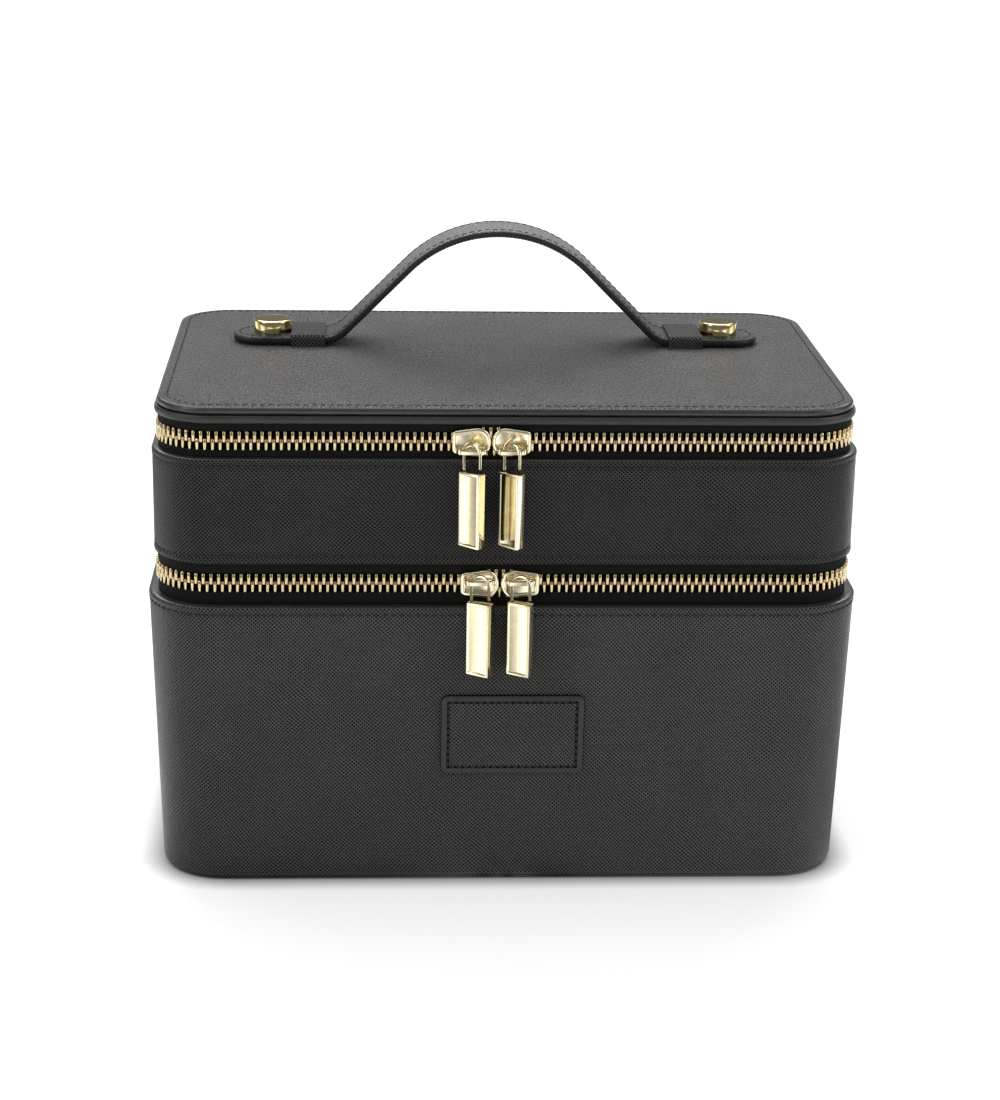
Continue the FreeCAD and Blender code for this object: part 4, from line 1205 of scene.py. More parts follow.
@dataclass
class LowerCase(Assembly):
    """The lower case: leather wall with a sewn hem, base, lining and blank patch."""

    body: str = "lower_case"
    seam: float = 92.9
    seam_depth: float = 0.05
    lip: float = 1.6
    inner_foot: float = 3.0
    fold_height: float = 0.4
    wall_profile: Profile = (
        (1.2, -0.7), (1.5, -0.25), (2.2, 0.0), (8.0, 0.0), (88.0, 0.0), (91.4, -0.02),
        (92.4, -0.07), (92.9, -0.22), (93.35, -0.04), (93.8, 0.12), (94.5, 0.18), (95.0, 0.08),
        (95.35, -0.2), (95.55, -0.65), (95.6, -1.3))
    base: Outline = Outline(223.0, 143.0, 21.0)
    base_profile: Profile = ((0.0, -0.5), (0.15, -0.15), (0.45, 0.0), (0.95, 0.0), (1.2, -0.2))
    bag_floor: Outline = Outline(219.2, 139.2, 19.1)
    bag_top: Outline = Outline(223.8, 143.8, 19.1)
    bag_heights: Triple = (3.4, 3.8, 88.3)
    patch: Outline = Outline(46.3, 27.3, 2.5)
    patch_middle: Pair = (2.5, 52.0)
    patch_thick: float = 1.0
    patch_round: float = 0.25
    patch_border: Profile = ((0.15, 0.22), (0.35, 0.18), (1.4, 0.0), (0.25, -0.3))
    patch_field: Profile = ((0.4, 0.0), (0.25, 0.25), (1.2, 0.05))
    patch_gap: float = 0.02
    patch_seam: float = 2.35
    patch_sunk: float = 0.12

    @staticmethod
    def nominal(height: float) -> Outline:
        """The leaning wall's outline at a height; its corners keep their radius."""
        inwards = 2 * LEAN * (LOWER_TOP - height)
        return Outline(CASE.width - inwards, CASE.depth - inwards, CASE.radius)

    def build(self) -> None:
        """Makes every piece of the lower case."""
        self.build_wall()
        self.add_plate("base_plate", self.body, Slot.LEATHER, "base_panel", self.wardrobe.edge,
                       self.base, self.base_profile)
        self.add_bag("lower_bag", self.body, ["lower_lining", "lower_floor_lining"],
                     self.bag_floor, self.bag_top, self.bag_heights)
        self.build_patch()

    def build_wall(self) -> None:
        """The leather wall, turned in at the top, and the stitches of its hem."""
        cap = raise_wall("lower_wall", self.wall_profile, self.nominal)
        cap.step((self.lip, 0.0))
        cap.to(LOWER_FOOT + 0.05, CASE.inset(self.inner_foot))
        wall = cap.ring()
        map_round(wall, self.nominal(LOWER_TOP / 2))
        # The top edge gets the fold finish, painted lighter as a painted highlight.
        Bench.paint(wall, 1, lambda face: face.center.z > LOWER_TOP - self.fold_height)
        self.add(wall, self.body, Slot.LEATHER, ["lower_wall_leather"],
                 self.wardrobe.leather, self.wardrobe.fold)
        sewing = Stitching()
        places = sewing.round(self.nominal(self.seam).inset(self.seam_depth), self.seam)
        self.sew("lower_hem_stitches", self.body, sewing, places)

    def build_patch(self) -> None:
        """The blank patch on the front: a border, a sunk seam line and a flat field, sewn."""
        cap = Cap("front_label_patch", self.patch.inset(self.patch_round), 0.0, 8)
        cap.to(self.patch_round, self.patch)
        cap.to(self.patch_thick - 0.4, self.patch)
        cap.step(*self.patch_border)
        cap.shrink(*self.patch_field)
        patch = cap.done()
        map_flat(patch)
        line = self.patch.inset(self.patch_seam)
        Bench.paint(patch, 1, lambda face: max(abs(face.center.x) - line.width / 2,
                                               abs(face.center.y) - line.depth / 2) > 0.1)
        Bench.paint(patch, 2, lambda face: face.center.z < self.patch_thick - self.patch_sunk)
        across, height = self.patch_middle
        face = self.nominal(height).depth / 2 + self.patch_gap
        turn = Matrix.Rotation(math.pi / 2 + math.atan(LEAN), 4, "X")
        stand = Matrix.Translation((across, -face, height)) @ turn
        patch.data.transform(stand)
        self.add(patch, self.body, Slot.LEATHER, ["front_patch"],
                 self.wardrobe.leather, self.wardrobe.rim, self.wardrobe.shade)
        sewing = Stitching(pitch=2.3, length=1.9, width=0.75)
        places = sewing.round(line, self.patch_thick - 0.15, flat=True)
        self.sew("patch_stitches", self.body, sewing, [stand @ place for place in places])


@dataclass
class UpperTier(Assembly):
    """The upper tier: leather wall hemmed above and below, tray lining and underside."""

    body: str = "upper_tier"
    seams: Pair = (111.8, 141.2)
    seam_depth: float = 0.05
    fold_height: float = 0.35
    inner: float = 0.95
    wall_profile: Profile = (
        (109.2, -0.85), (109.3, -0.35), (109.6, 0.02), (110.2, 0.16), (110.9, 0.1),
        (111.35, -0.05), (111.8, -0.22), (112.3, -0.07), (113.3, 0.0), (119.0, 0.0), (134.0, 0.0),
        (139.7, 0.0), (140.7, -0.07), (141.2, -0.22), (141.65, -0.05), (142.1, 0.1), (142.8, 0.16),
        (143.35, 0.0), (143.65, -0.4), (143.8, -1.0))
    tray: Outline = UPPER.inset(2.0)
    tray_heights: Triple = (118.5, 118.8, 136.5)
    under_profile: Profile = ((115.8, -0.6), (115.95, -0.15), (116.3, 0.0))

    def build(self) -> None:
        """Makes every piece of the upper tier."""
        self.build_wall()
        self.add_bag("tray_bag", self.body, ["upper_lining", "tray_floor_lining"],
                     self.tray, self.tray, self.tray_heights)
        self.add_plate("tray_under_cloth", self.body, Slot.CLOTH, "tray_underside",
                       self.wardrobe.lining, self.tray, self.under_profile)

    def build_wall(self) -> None:
        """The leather wall, turned in at the top, and the stitches of both hems."""
        cap = raise_wall("upper_wall", self.wall_profile, lambda _: UPPER)
        cap.step((0.9, 0.0))
        for height, margin in ((UPPER_TOP - 1.0, 2 * self.inner), (UPPER_TOP - 1.6, self.inner),
                               (UPPER_FOOT + 0.05, self.inner)):
            cap.to(height, UPPER.inset(margin))
        wall = cap.ring()
        map_round(wall, UPPER)
        # The top edge gets the fold finish, painted lighter as a painted highlight.
        Bench.paint(wall, 1, lambda face: face.center.z > UPPER_TOP - self.fold_height)
        # The wall wears the leather painted darker as shade.
        self.add(wall, self.body, Slot.LEATHER, ["upper_wall_leather"],
                 self.wardrobe.tier_leather, self.wardrobe.fold)
        sewing = Stitching()
        line = UPPER.inset(self.seam_depth)
        places = [place for seam in self.seams for place in sewing.round(line, seam)]
        self.sew("upper_hem_stitches", self.body, sewing, places)


@dataclass
class Lid(Assembly):
    """The lid: sewn leather panel, band, lining, framed mirror and the strap's keepers."""

    body: str = "lid"
    panel: Outline = UPPER.inset(1.8)
    panel_profile: Profile = (
        (157.4, -0.7), (157.6, -0.3), (158.0, -0.05), (158.5, 0.0), (159.1, -0.02), (159.55, -0.25),
        (159.85, -0.65), (160.0, -1.2))
    seam_inset: float = 3.3
    seam_half: float = 0.45
    seam_steps: Profile = ((0.4, -0.08), (0.1, 0.0), (0.4, 0.08), (2.0, 0.05))
    band: Outline = UPPER.inset(1.0)
    band_profile: Profile = (
        (154.8, -0.7), (154.95, -0.3), (155.3, -0.05), (156.0, 0.06), (156.8, 0.0), (157.3, -0.25))
    cloth: Outline = UPPER.inset(2.7)
    cloth_profile: Profile = ((156.8, -0.4), (157.0, 0.0), (157.3, 0.0))
    mirror_frame: Outline = Outline(164.0, 106.0, 3.0)
    mirror_frame_seam: float = 2.3
    mirror_frame_heights: Triple = (-156.7, -156.5, -154.5)
    mirror_frame_border: Profile = ((0.3, 0.3), (0.5, 0.2), (1.2, 0.0), (0.3, -0.15), (0.3, 0.15))
    mirror_frame_field: Profile = ((4.9, 0.0), (0.5, -0.2), (0.2, -0.3))
    keeper_middle: float = 64.8
    keeper_size: Triple = (11.6, 22.2, 4.3)
    keeper_round: float = 2.0
    keeper_leather: float = 1.1
    keeper_seam: float = 4.35
    keeper_seam_half: float = 8.6
    keeper_seam_cuts: Triple = (-0.25, 0.0, 0.25)
    keeper_seam_dip: Triple = (1.0, 0.985, 0.999)

    def build(self) -> None:
        """Makes every piece of the lid."""
        self.build_panel()
        self.build_band()
        self.add_plate("lid_cloth", self.body, Slot.CLOTH, "lid_lining", self.wardrobe.lining,
                       self.cloth, self.cloth_profile)
        self.build_mirror_frame()
        for side, name in ((-1, "left"), (1, "right")):
            self.build_keeper(side, name)

    def build_panel(self) -> None:
        """The leather panel with a sunk seam line near its edge, and the stitches in it."""
        cap = raise_wall("lid_panel", self.panel_profile, lambda _: self.panel)
        to_seam = self.seam_inset + self.panel_profile[-1][1] - self.seam_half
        cap.step((to_seam, 0.0), *self.seam_steps)
        panel = cap.done()
        map_flat(panel)
        # The turned edge gets the fold finish, painted lighter as a painted highlight.
        Bench.paint(panel, 1, lambda face: face.normal.z < FACING
                    and face.center.z < LID_TOP - 0.05)
        # The panel's top wears the leather with painted sheen.
        self.add(panel, self.body, Slot.LEATHER, ["lid_leather"],
                 self.wardrobe.lid_leather, self.wardrobe.fold)
        sewing = Stitching()
        places = sewing.round(self.panel.inset(self.seam_inset), LID_TOP, flat=True)
        self.sew("lid_stitches", self.body, sewing, places)

    def build_band(self) -> None:
        """The band below the panel."""
        cap = raise_wall("lid_band", self.band_profile, lambda _: self.band)
        cap.step((0.65, 0.0))
        cap.to(self.band_profile[0][0] + 0.05, self.band.inset(0.92))
        band = cap.ring()
        map_round(band, self.band)
        self.add(band, self.body, Slot.LEATHER, ["lid_rim_band"], self.wardrobe.band)

    def build_mirror_frame(self) -> None:
        """The leather frame round the mirror, modelled face up and then turned over."""
        back, rounded, front = self.mirror_frame_heights
        cap = Cap("mirror_border", self.mirror_frame.inset(rounded - back), back, 6)
        cap.to(rounded, self.mirror_frame)
        cap.to(front, self.mirror_frame)
        cap.step(*self.mirror_frame_border)
        face = cap.height
        cap.shrink(*self.mirror_frame_field)
        cap.to(back + 0.1, Outline(cap.width, cap.depth, 0.0))
        border = cap.ring()
        map_flat(border)
        over = Matrix.Rotation(math.pi, 4, "X")
        border.data.transform(over)
        self.add(border, self.body, Slot.LEATHER, ["mirror_frame"], self.wardrobe.leather)
        sewing = Stitching()
        line = self.mirror_frame.inset(self.mirror_frame_seam)
        places = sewing.round(line, face - 0.05, flat=True)
        self.sew("mirror_border_stitches", self.body, sewing, [over @ place for place in places])

    def build_keeper(self, side: int, name: str) -> None:
        """A leather loop that the strap slides through, with a stitched line near each edge.

        Args:
            side: -1 for the left one, 1 for the right one.
            name: left or right, for the names.
        """
        height = self.keeper_size[2]
        middle = Vector((side * self.keeper_middle, HANDLE_BACK, LID_TOP + height / 2 - 0.02))
        keeper = Bench.block(f"{name}_keeper_loop", self.keeper_size, middle)
        top = LID_TOP + height - 0.1
        Bench.select_edges(keeper, lambda a, b: min(a.z, b.z) > top and abs(a.y - b.y) < 0.1)
        bpy.ops.mesh.bevel(offset=self.keeper_round, segments=6, affect="EDGES")
        Bench.select(keeper, lambda _, normal, __: abs(normal.x) > FACING or normal.z < -FACING)
        bpy.ops.mesh.delete(type="FACE")
        seams = (-self.keeper_seam, self.keeper_seam)
        Bench.bisect_along(ALONG_X, [middle.x + seam + shift for seam in seams
                                     for shift in self.keeper_seam_cuts])
        Bench.select_points(
            keeper, lambda point: abs(abs(point.x - middle.x) - self.keeper_seam) < 0.05)
        Bench.stretch(self.keeper_seam_dip, tuple(middle - UP * height / 2))
        Bench.modify(keeper, "SOLIDIFY", thickness=self.keeper_leather, offset=-1.0,
                     use_even_offset=True)
        Bench.shade(keeper)
        map_flat(keeper)
        Bench.paint(keeper, 1, lambda face: abs(face.normal.x) > FACING)
        self.add(keeper, self.body, Slot.LEATHER, [f"{name}_strap_keeper"],
                 self.wardrobe.keeper_leather, self.wardrobe.edge)
        sewing = Stitching(pitch=2.3, length=1.75)
        front = HANDLE_BACK - self.keeper_seam_half
        back = HANDLE_BACK + self.keeper_seam_half
        places = [place for seam in seams for place in sewing.line(
            (middle.x + seam, front, top), (middle.x + seam, back, top), UP)]
        self.sew(f"{name}_keeper_stitches", self.body, sewing, places)


@dataclass
class ZipChain(Assembly):
    """One zip: two tapes, two rows of teeth, two sliders and their pulls."""

    name: str
    middle: float
    chain: Outline
    tape: Outline
    bodies: tuple[str, str]
    tape_heights: tuple[Pair, Pair]
    slider_places: Pair
    bridge_lift: float
    twists: Pair
    tape_thick: float = 0.6
    pitch: float = 2.375
    tooth: Triple = (0.95, 1.9, 3.45)
    tooth_head: Pair = (0.72, 0.12)
    tooth_bevel: float = 0.17
    lap: float = 0.42
    part_height: float = 1.7
    throat: Pair = (-0.975, 3.5)
    slider_size: Triple = (12.2, 10.5, 4.1)
    tail_width: float = 7.1
    nose_round: float = 5.0
    tail_round: float = 1.2
    plate_steps: Profile = ((0.12, 0.22), (0.28, 0.18), (0.7, 0.0), (0.25, -0.12))
    slot: float = 0.9
    bridge_size: Pair = (9.8, 1.6)
    bridge_wall: float = 0.95
    bridge_round: float = 2.0
    bridge_axis: float = 5.25
    bail_drop: float = 5.5
    bail_half: float = 3.2
    bail_wire: float = 0.55
    bail_crown: float = 2.1
    tilt: float = math.radians(17.0)
    bar_size: Triple = (8.0, 3.6, 24.3)
    bar_steps: Profile = ((0.75, 0.0), (0.22, -0.32), (2.5, -0.2))
    bar_trough: float = 1.265
    bar_sunk: float = 0.25

    def build(self) -> None:
        """Makes the whole zip."""
        for row, side in enumerate(("lower", "upper")):
            self.build_tape(side, self.tape_heights[row], self.bodies[row])
            self.build_teeth(side, row == 1, self.bodies[row])
        for number, side in enumerate(("left", "right")):
            self.build_slider(side, self.slider_places[number], number == 1)
            self.build_pull(side, self.slider_places[number], self.twists[number])

    def build_tape(self, side: str, heights: Pair, body: str) -> None:
        """A woven tape round the case, open at the hinge.

        Args:
            side: lower or upper.
            heights: its two edges.
            body: the body that it rides on.
        """
        cap = Cap(f"{self.name}_{side}_tape_band", self.tape, heights[0])
        cap.to(heights[1], self.tape)
        Bench.recalculate()
        Bench.select(cap.piece, lambda middle, normal, _: abs(normal.z) > FACING
                     or (normal.y > 0.99 and abs(middle.x) < 1.0))
        bpy.ops.mesh.delete(type="FACE")
        Bench.modify(cap.piece, "SOLIDIFY", thickness=self.tape_thick, offset=-1.0,
                     use_even_offset=True)
        Bench.modify(cap.piece, "BEVEL", width=0.12, segments=2, limit_method="ANGLE")
        band = Bench.shade(cap.piece)
        map_round(band, self.tape)
        self.add(band, body, Slot.TAPE, [f"{self.name}_zip_{side}_tape"], self.wardrobe.tape)

    def tooth_model(self) -> Piece:
        """One tooth of the lower row: a bevelled bar whose head narrows in depth.

        Returns:
            The tooth, in object mode.
        """
        narrow, rise = self.tooth_head
        piece = Bench.block("tooth", self.tooth, (0.0, 0.0, self.lap - self.tooth[2] / 2))
        Bench.select(piece, lambda _, normal, __: normal.z > FACING)
        Bench.draw_out(0.0)
        Bench.stretch((1.0, narrow, 1.0))
        bpy.ops.transform.translate(value=(0.0, 0.0, rise))
        bpy.ops.mesh.select_all(action="SELECT")
        bpy.ops.mesh.bevel(offset=self.tooth_bevel, segments=1, affect="EDGES")
        Bench.recalculate()
        bpy.ops.object.mode_set(mode="OBJECT")
        return piece

    def parting(self, x: float) -> float:
        """How far a row stands off its closed place, between the two sliders.

        Args:
            x: the place along the front.

        Returns:
            The distance, up or down.
        """
        start, run = self.throat
        inside = min(x - self.slider_places[0], self.slider_places[1] - x)
        return self.part_height * min(max((inside - start) / run, 0.0), 1.0)

    def build_teeth(self, side: str, upper: bool, body: str) -> None:
        """A row of teeth along a tape; the upper row is turned over and half a pitch along.

        Args:
            side: lower or upper.
            upper: whether it is the upper row.
            body: the body that it rides on.
        """
        half = self.chain.length / 2 - HINGE_HALF - self.tooth[0]
        count = int(half / self.pitch)
        places = []
        for number in range(-count, count + 1):
            distance = (number + (0.5 if upper else 0.0)) * self.pitch
            if abs(distance) > half:
                continue
            x, y, heading = self.chain.at(distance)
            apart = self.parting(x) if y < 0 and abs(heading) < 1e-6 else 0.0
            place = Matrix.Translation((x, y, self.middle + (apart if upper else -apart)))
            place = place @ Matrix.Rotation(heading, 4, "Z")
            places.append(place @ Matrix.Rotation(math.pi, 4, "Y") if upper else place)
        row = scatter(f"{self.name}_{side}_tooth_row", self.tooth_model(), places)
        self.add(row, body, Slot.METAL, [f"{self.name}_zip_{side}_teeth"], self.wardrobe.teeth)

    def slider_plate(self) -> Piece:
        """The front half of a slider, nose towards +X, lying on its back.

        Returns:
            The plate, closed.
        """
        length, width, depth = self.slider_size
        plate = Bench.plane("slider_plate", length, width, self.slot / 2)
        Bench.select_points(plate, lambda point: point.x < 0)
        Bench.stretch((1.0, self.tail_width / width, 1.0))
        Bench.select_points(plate, lambda point: point.x > 0)
        bpy.ops.mesh.bevel(offset=self.nose_round, segments=10, affect="VERTICES")
        Bench.select_points(plate, lambda point: point.x < -length / 2 + 0.01)
        bpy.ops.mesh.bevel(offset=self.tail_round, segments=4, affect="VERTICES")
        Bench.take_all()
        Bench.draw_out(depth / 2 - self.slot / 2 - 0.4)
        Bench.step(self.plate_steps)
        return Bench.close(plate, 35.0)

    def slider_bridge(self, lift: float) -> Piece:
        """The arch in front of a slider that its shackle hangs on.

        Args:
            lift: its place across the slider.

        Returns:
            The bridge, closed.
        """
        low = self.slider_size[2] / 2 - 0.9
        high = self.bridge_axis + 0.6
        bridge = Bench.block("slider_bridge", (*self.bridge_size, high - low),
                             (0.0, lift, (low + high) / 2))
        Bench.select_edges(
            bridge, lambda a, b: min(a.z, b.z) > high - 0.1 and abs(a.x - b.x) < 0.1)
        bpy.ops.mesh.bevel(offset=self.bridge_round, segments=6, affect="EDGES")
        Bench.select(bridge, lambda _, normal, __: abs(normal.y) > FACING)
        Bench.step(((self.bridge_wall, 0.0),), each=True)
        bpy.ops.mesh.bridge_edge_loops()
        Bench.recalculate()
        Bench.modify(bridge, "BEVEL", width=0.22, segments=2, limit_method="ANGLE",
                     angle_limit=math.radians(50.0))
        return Bench.shade(bridge, 35.0)

    def build_slider(self, side: str, x: float, to_left: bool) -> None:
        """A slider: two plates round the tape's slot, and the bridge.

        Args:
            side: left or right.
            x: its place along the front.
            to_left: whether its nose points to the left.
        """
        front = self.slider_plate()
        rear = Bench.copy(front, "slider_rear", Matrix.Rotation(math.pi, 4, "X"))
        bridge = self.slider_bridge(-self.bridge_lift if to_left else self.bridge_lift)
        name = f"{self.name}_{side}_slider"
        piece = Bench.join(f"{name}_body", [front, rear, bridge])
        stand = Matrix.Rotation(math.pi / 2, 4, "X")
        if to_left:
            stand = stand @ Matrix.Rotation(math.pi, 4, "Z")
        place = Matrix.Translation((x, -self.chain.depth / 2, self.middle))
        piece.data.transform(place @ stand)
        self.add(piece, name, Slot.METAL, [name], self.wardrobe.gold)

    def bail_model(self) -> Piece:
        """The shackle: a wire up one leg, over the crown and down the other.

        Returns:
            The shackle, closed.
        """
        bend = self.bail_crown - self.bail_half
        Bench.clear()
        bpy.ops.mesh.primitive_circle_add(vertices=12, radius=self.bail_wire, fill_type="NGON",
                                          location=(-self.bail_half, 0.0, -self.bail_drop))
        wire = Bench.start("shackle")
        Bench.draw_out(self.bail_drop + bend)
        bpy.ops.mesh.spin(steps=14, angle=math.pi, center=(0.0, 0.0, bend), axis=(0.0, -1.0, 0.0))
        Bench.draw_out(-self.bail_drop - bend)
        return Bench.close(wire)

    def bar_model(self) -> Piece:
        """The flat pull: a bevelled bar with a bare recessed panel on both faces.

        Returns:
            The bar, closed.
        """
        middle = (0.0, 0.0, -self.bar_size[2] / 2)
        bar = Bench.block("bar", self.bar_size, middle)
        Bench.select(bar, lambda _, normal, __: abs(normal.y) > FACING)
        Bench.step(self.bar_steps, each=True)
        Bench.stretch((1.0, 1.0, self.bar_trough), middle)
        Bench.modify(bar, "BEVEL", width=0.32, segments=3, limit_method="ANGLE",
                     angle_limit=math.radians(60.0))
        return Bench.shade(bar, 35.0)

    def build_pull(self, side: str, x: float, twist: float) -> None:
        """A shackle round the bridge, tilted off the wall, with its bar hanging plumb.

        Args:
            side: left or right.
            x: its slider's place along the front.
            twist: its turn about the vertical, in degrees.
        """
        axis = Vector((x, -self.chain.depth / 2 - self.bridge_axis, self.middle + self.bridge_lift))
        turn = math.radians(twist)
        twisted = Matrix.Rotation(-turn, 4, "Z")
        wire = self.bail_model()
        tilted = Matrix.Rotation(-self.tilt, 4, "X")
        wire.data.transform(Matrix.Translation(axis) @ tilted @ twisted)
        body = f"{self.name}_{side}_pull"
        wire.name = f"{body}_shackle"
        self.add(wire, body, Slot.METAL, [f"{body}_bail"], self.wardrobe.gold)
        across = self.bail_half + self.bail_wire
        dip = (across * math.sin(turn) + self.bail_wire * math.cos(turn)) * math.sin(self.tilt)
        reach = self.bail_drop * math.sin(self.tilt)
        drop = self.bail_drop * math.cos(self.tilt) + dip
        bar = self.bar_model()
        deep = self.bar_size[1] / 2 - self.bar_sunk
        Bench.paint(bar, 1, lambda face: abs(face.normal.y) > FACING and abs(face.center.y) < deep)
        bar.data.transform(Matrix.Translation(axis - Vector((0.0, reach, drop))) @ twisted)
        bar.name = f"{body}_tab"
        self.add(bar, body, Slot.METAL, [f"{body}_bar"], self.wardrobe.gold, self.wardrobe.satin)


@dataclass
class HingeStrip(Assembly):
    """The leather strip at the back that two tiers fold on."""

    name: str
    bodies: tuple[str, str]
    face: float
    heights: Pair
    bend: Pair
    half: float = 93.0
    thick: float = 0.6
    cuts: int = 24

    def build(self) -> None:
        """Makes the strip, cut across many times over its bend, and bakes its transform."""
        low, high = self.heights
        start, end = self.bend
        y = self.face - self.thick / 2
        strip = Bench.block(f"{self.name}_leather", (2 * self.half, self.thick, high - low),
                            (0.0, y, (low + high) / 2))
        Bench.bisect_along(UP, [start + (end - start) * number / self.cuts
                                for number in range(self.cuts + 1)])
        Bench.shade(strip)
        map_flat(strip)
        self.wardrobe.put_on(strip, [self.wardrobe.leather], Slot.LEATHER, [self.name])
        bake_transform(strip)


@dataclass
class StrapHandle(Assembly):
    """The handle strap, cut flat and laid along its arch in two halves, with its studs."""

    width: float = 19.6
    thick: float = 2.8
    rise: float = 37.4
    bend: float = 12.0
    reach: float = 60.314
    flat_height: float = 161.6
    tab: float = 30.286
    lean: float = math.pi / 4
    seam_inset: float = 2.1
    seam_steps: Profile = ((1.15, 0.0), (0.3, -0.07), (0.1, 0.0), (0.3, 0.07), (0.9, 0.06))
    stud_middle: float = 77.2
    stud_radius: float = 6.45
    stud_height: float = 4.6
    stud_shoulder: float = 0.5
    stud_steps: Profile = ((0.08, 0.25), (0.17, 0.17), (0.3, 0.08), (0.6, 0.05), (1.6, 0.06),
                           (2.2, 0.02))
    skim: float = 0.45
    crown_cut: float = 1.1
    leg_cut: float = 2.2
    bend_cuts: int = 10
    soft_from: Pair = (63.0, -3.0)
    soft_to: Pair = (35.0, 34.0)
    crown: float = field(init=False)
    crown_low: float = field(init=False)
    runs: tuple[float, float, float, float] = field(init=False)
    outline: Outline = field(init=False)

    def __post_init__(self) -> None:
        """Works out the crown's arc, the lengths of crown, leg, bend and tab, and the outline."""
        sine, cosine = math.sin(self.lean), math.cos(self.lean)
        self.crown = (sine * self.reach - cosine * self.rise) / (1 - cosine) - self.bend
        self.crown_low = self.flat_height + self.rise - self.crown
        both = self.crown + self.bend
        leg = math.hypot(self.reach - both * sine,
                         self.crown_low + both * cosine - self.flat_height - self.bend)
        self.runs = (self.crown * self.lean, leg, self.bend * self.lean, self.tab)
        self.outline = Outline(2 * sum(self.runs), self.width, self.width / 2 - 0.1)

    def lay(self, along: float) -> Triple:
        """The strap's middle line at a distance from the crown.

        Args:
            along: the distance.

        Returns:
            x, z and the slope in radians, falling.
        """
        crown, leg, bend, _ = self.runs
        sine, cosine = math.sin(self.lean), math.cos(self.lean)
        if along <= crown:
            slope = along / self.crown
            return (self.crown * math.sin(slope),
                    self.crown_low + self.crown * math.cos(slope), slope)
        if along <= crown + leg:
            past = along - crown
            return (self.crown * sine + past * cosine,
                    self.crown_low + self.crown * cosine - past * sine, self.lean)
        if along <= crown + leg + bend:
            slope = self.lean - (along - crown - leg) / self.bend
            return (self.reach - self.bend * math.sin(slope),
                    self.flat_height + self.bend - self.bend * math.cos(slope), slope)
        return self.reach + along - crown - leg - bend, self.flat_height, 0.0

    def build(self) -> None:
        """Makes the strap's two halves, their stitches and the studs."""
        half = self.cut_half()
        other = Bench.copy(half, "left_strap", Matrix.Rotation(math.pi, 4, "Z"))
        sewing = Stitching(pitch=2.6)
        flat = sewing.round(self.outline.inset(self.seam_inset), self.thick / 2, flat=True)
        for strap, side, name in ((half, 1, "right"), (other, -1, "left")):
            rows = [self.set_stitch(place, side) for place in flat
                    if place.translation.x * side > 0.5]
            stitches = sewing.sew(f"{name}_strap_stitches", rows, self.wardrobe)
            self.finish_half(strap, side, name)
            for piece in (strap, stitches):
                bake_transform(piece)
            self.build_stud(side, name)

    def cut_half(self) -> Piece:
        """The right half of the strap, still flat: rounded end, sewn edge, cuts to bend at.

        Returns:
            The half, closed.
        """
        edge = self.thick / 2
        foot = self.skim - edge
        profile = ((foot, -0.5), (foot + 0.15, -0.18), (foot + 0.45, 0.0), (edge - 0.45, 0.0),
                   (edge - 0.15, -0.2), (edge, -0.6))
        cap = raise_wall("right_strap", profile, lambda _: self.outline)
        cap.step(*self.seam_steps)
        Bench.recalculate()
        bpy.ops.mesh.bisect(plane_co=ORIGIN, plane_no=ALONG_X, use_fill=True, clear_inner=True)
        crown, leg, bend, _ = self.runs
        Bench.bisect_along(ALONG_X, np.concatenate([
            np.arange(1.0, crown, self.crown_cut), np.arange(crown, crown + leg, self.leg_cut),
            np.arange(crown + leg, crown + leg + bend + 0.1, bend / self.bend_cuts)]))
        return cap.done()

    def set_stitch(self, place: Matrix, side: int) -> Matrix:
        """Carries a stitch from the flat strap to its arch.

        Args:
            place: the stitch's matrix on the flat strap.
            side: -1 on the left half, 1 on the right half.

        Returns:
            Its matrix on the arch.
        """
        spot = place.translation
        x, z, slope = self.lay(abs(spot.x))
        outwards = Vector((side * math.sin(slope), 0.0, math.cos(slope)))
        turn = Matrix.Rotation(side * slope, 4, "Y")
        at = Vector((side * x, spot.y + HANDLE_BACK, z)) + outwards * spot.z
        return Matrix.Translation(at) @ turn @ place.to_3x3().to_4x4()

    def finish_half(self, strap: Piece, side: int, name: str) -> None:
        """Maps a flat half, lays it along the arch and dresses it, its cut edges painted.

        Args:
            strap: the flat half.
            side: -1 for the left one, 1 for the right one.
            name: left or right, for the names.
        """
        map_flat(strap)
        Bench.paint(strap, 1, lambda face: abs(face.normal.z) < 0.5)
        for point in strap.data.vertices:
            x, z, slope = self.lay(abs(point.co.x))
            lift = point.co.z
            point.co = (side * (x + lift * math.sin(slope)), point.co.y + HANDLE_BACK,
                        z + lift * math.cos(slope))
        nodes = [f"{name}_strap_tab", f"{name}_strap_leg"] + (["handle_grip"] if side > 0 else [])
        # The strap's leather carries painted light from above.
        finishes = [self.wardrobe.lit_strap_leather, self.wardrobe.edge]
        self.wardrobe.put_on(strap, finishes, Slot.LEATHER, nodes)

    def build_stud(self, side: int, name: str) -> None:
        """A turned stud: a drum with a rounded rim and a slightly dished top.

        Args:
            side: -1 for the left one, 1 for the right one.
            name: left or right, for the names.
        """
        middle = self.flat_height + self.thick / 2 + self.stud_height / 2
        Bench.clear()
        bpy.ops.mesh.primitive_cylinder_add(
            vertices=56, radius=self.stud_radius, depth=self.stud_height,
            location=(side * self.stud_middle, HANDLE_BACK, middle))
        stud = Bench.start(f"{name}_stud_cap")
        Bench.select(stud, lambda _, normal, __: normal.z > FACING)
        bpy.ops.transform.translate(value=(0.0, 0.0, -self.stud_shoulder))
        Bench.step(self.stud_steps)
        Bench.select(stud, lambda _, normal, __: normal.z < -FACING)
        Bench.step(((0.25, 0.0),))
        Bench.close(stud, 30.0)
        self.add(stud, f"{name}_strap_end", Slot.METAL, [f"{name}_strap_stud"],
                 self.wardrobe.stud_gold)


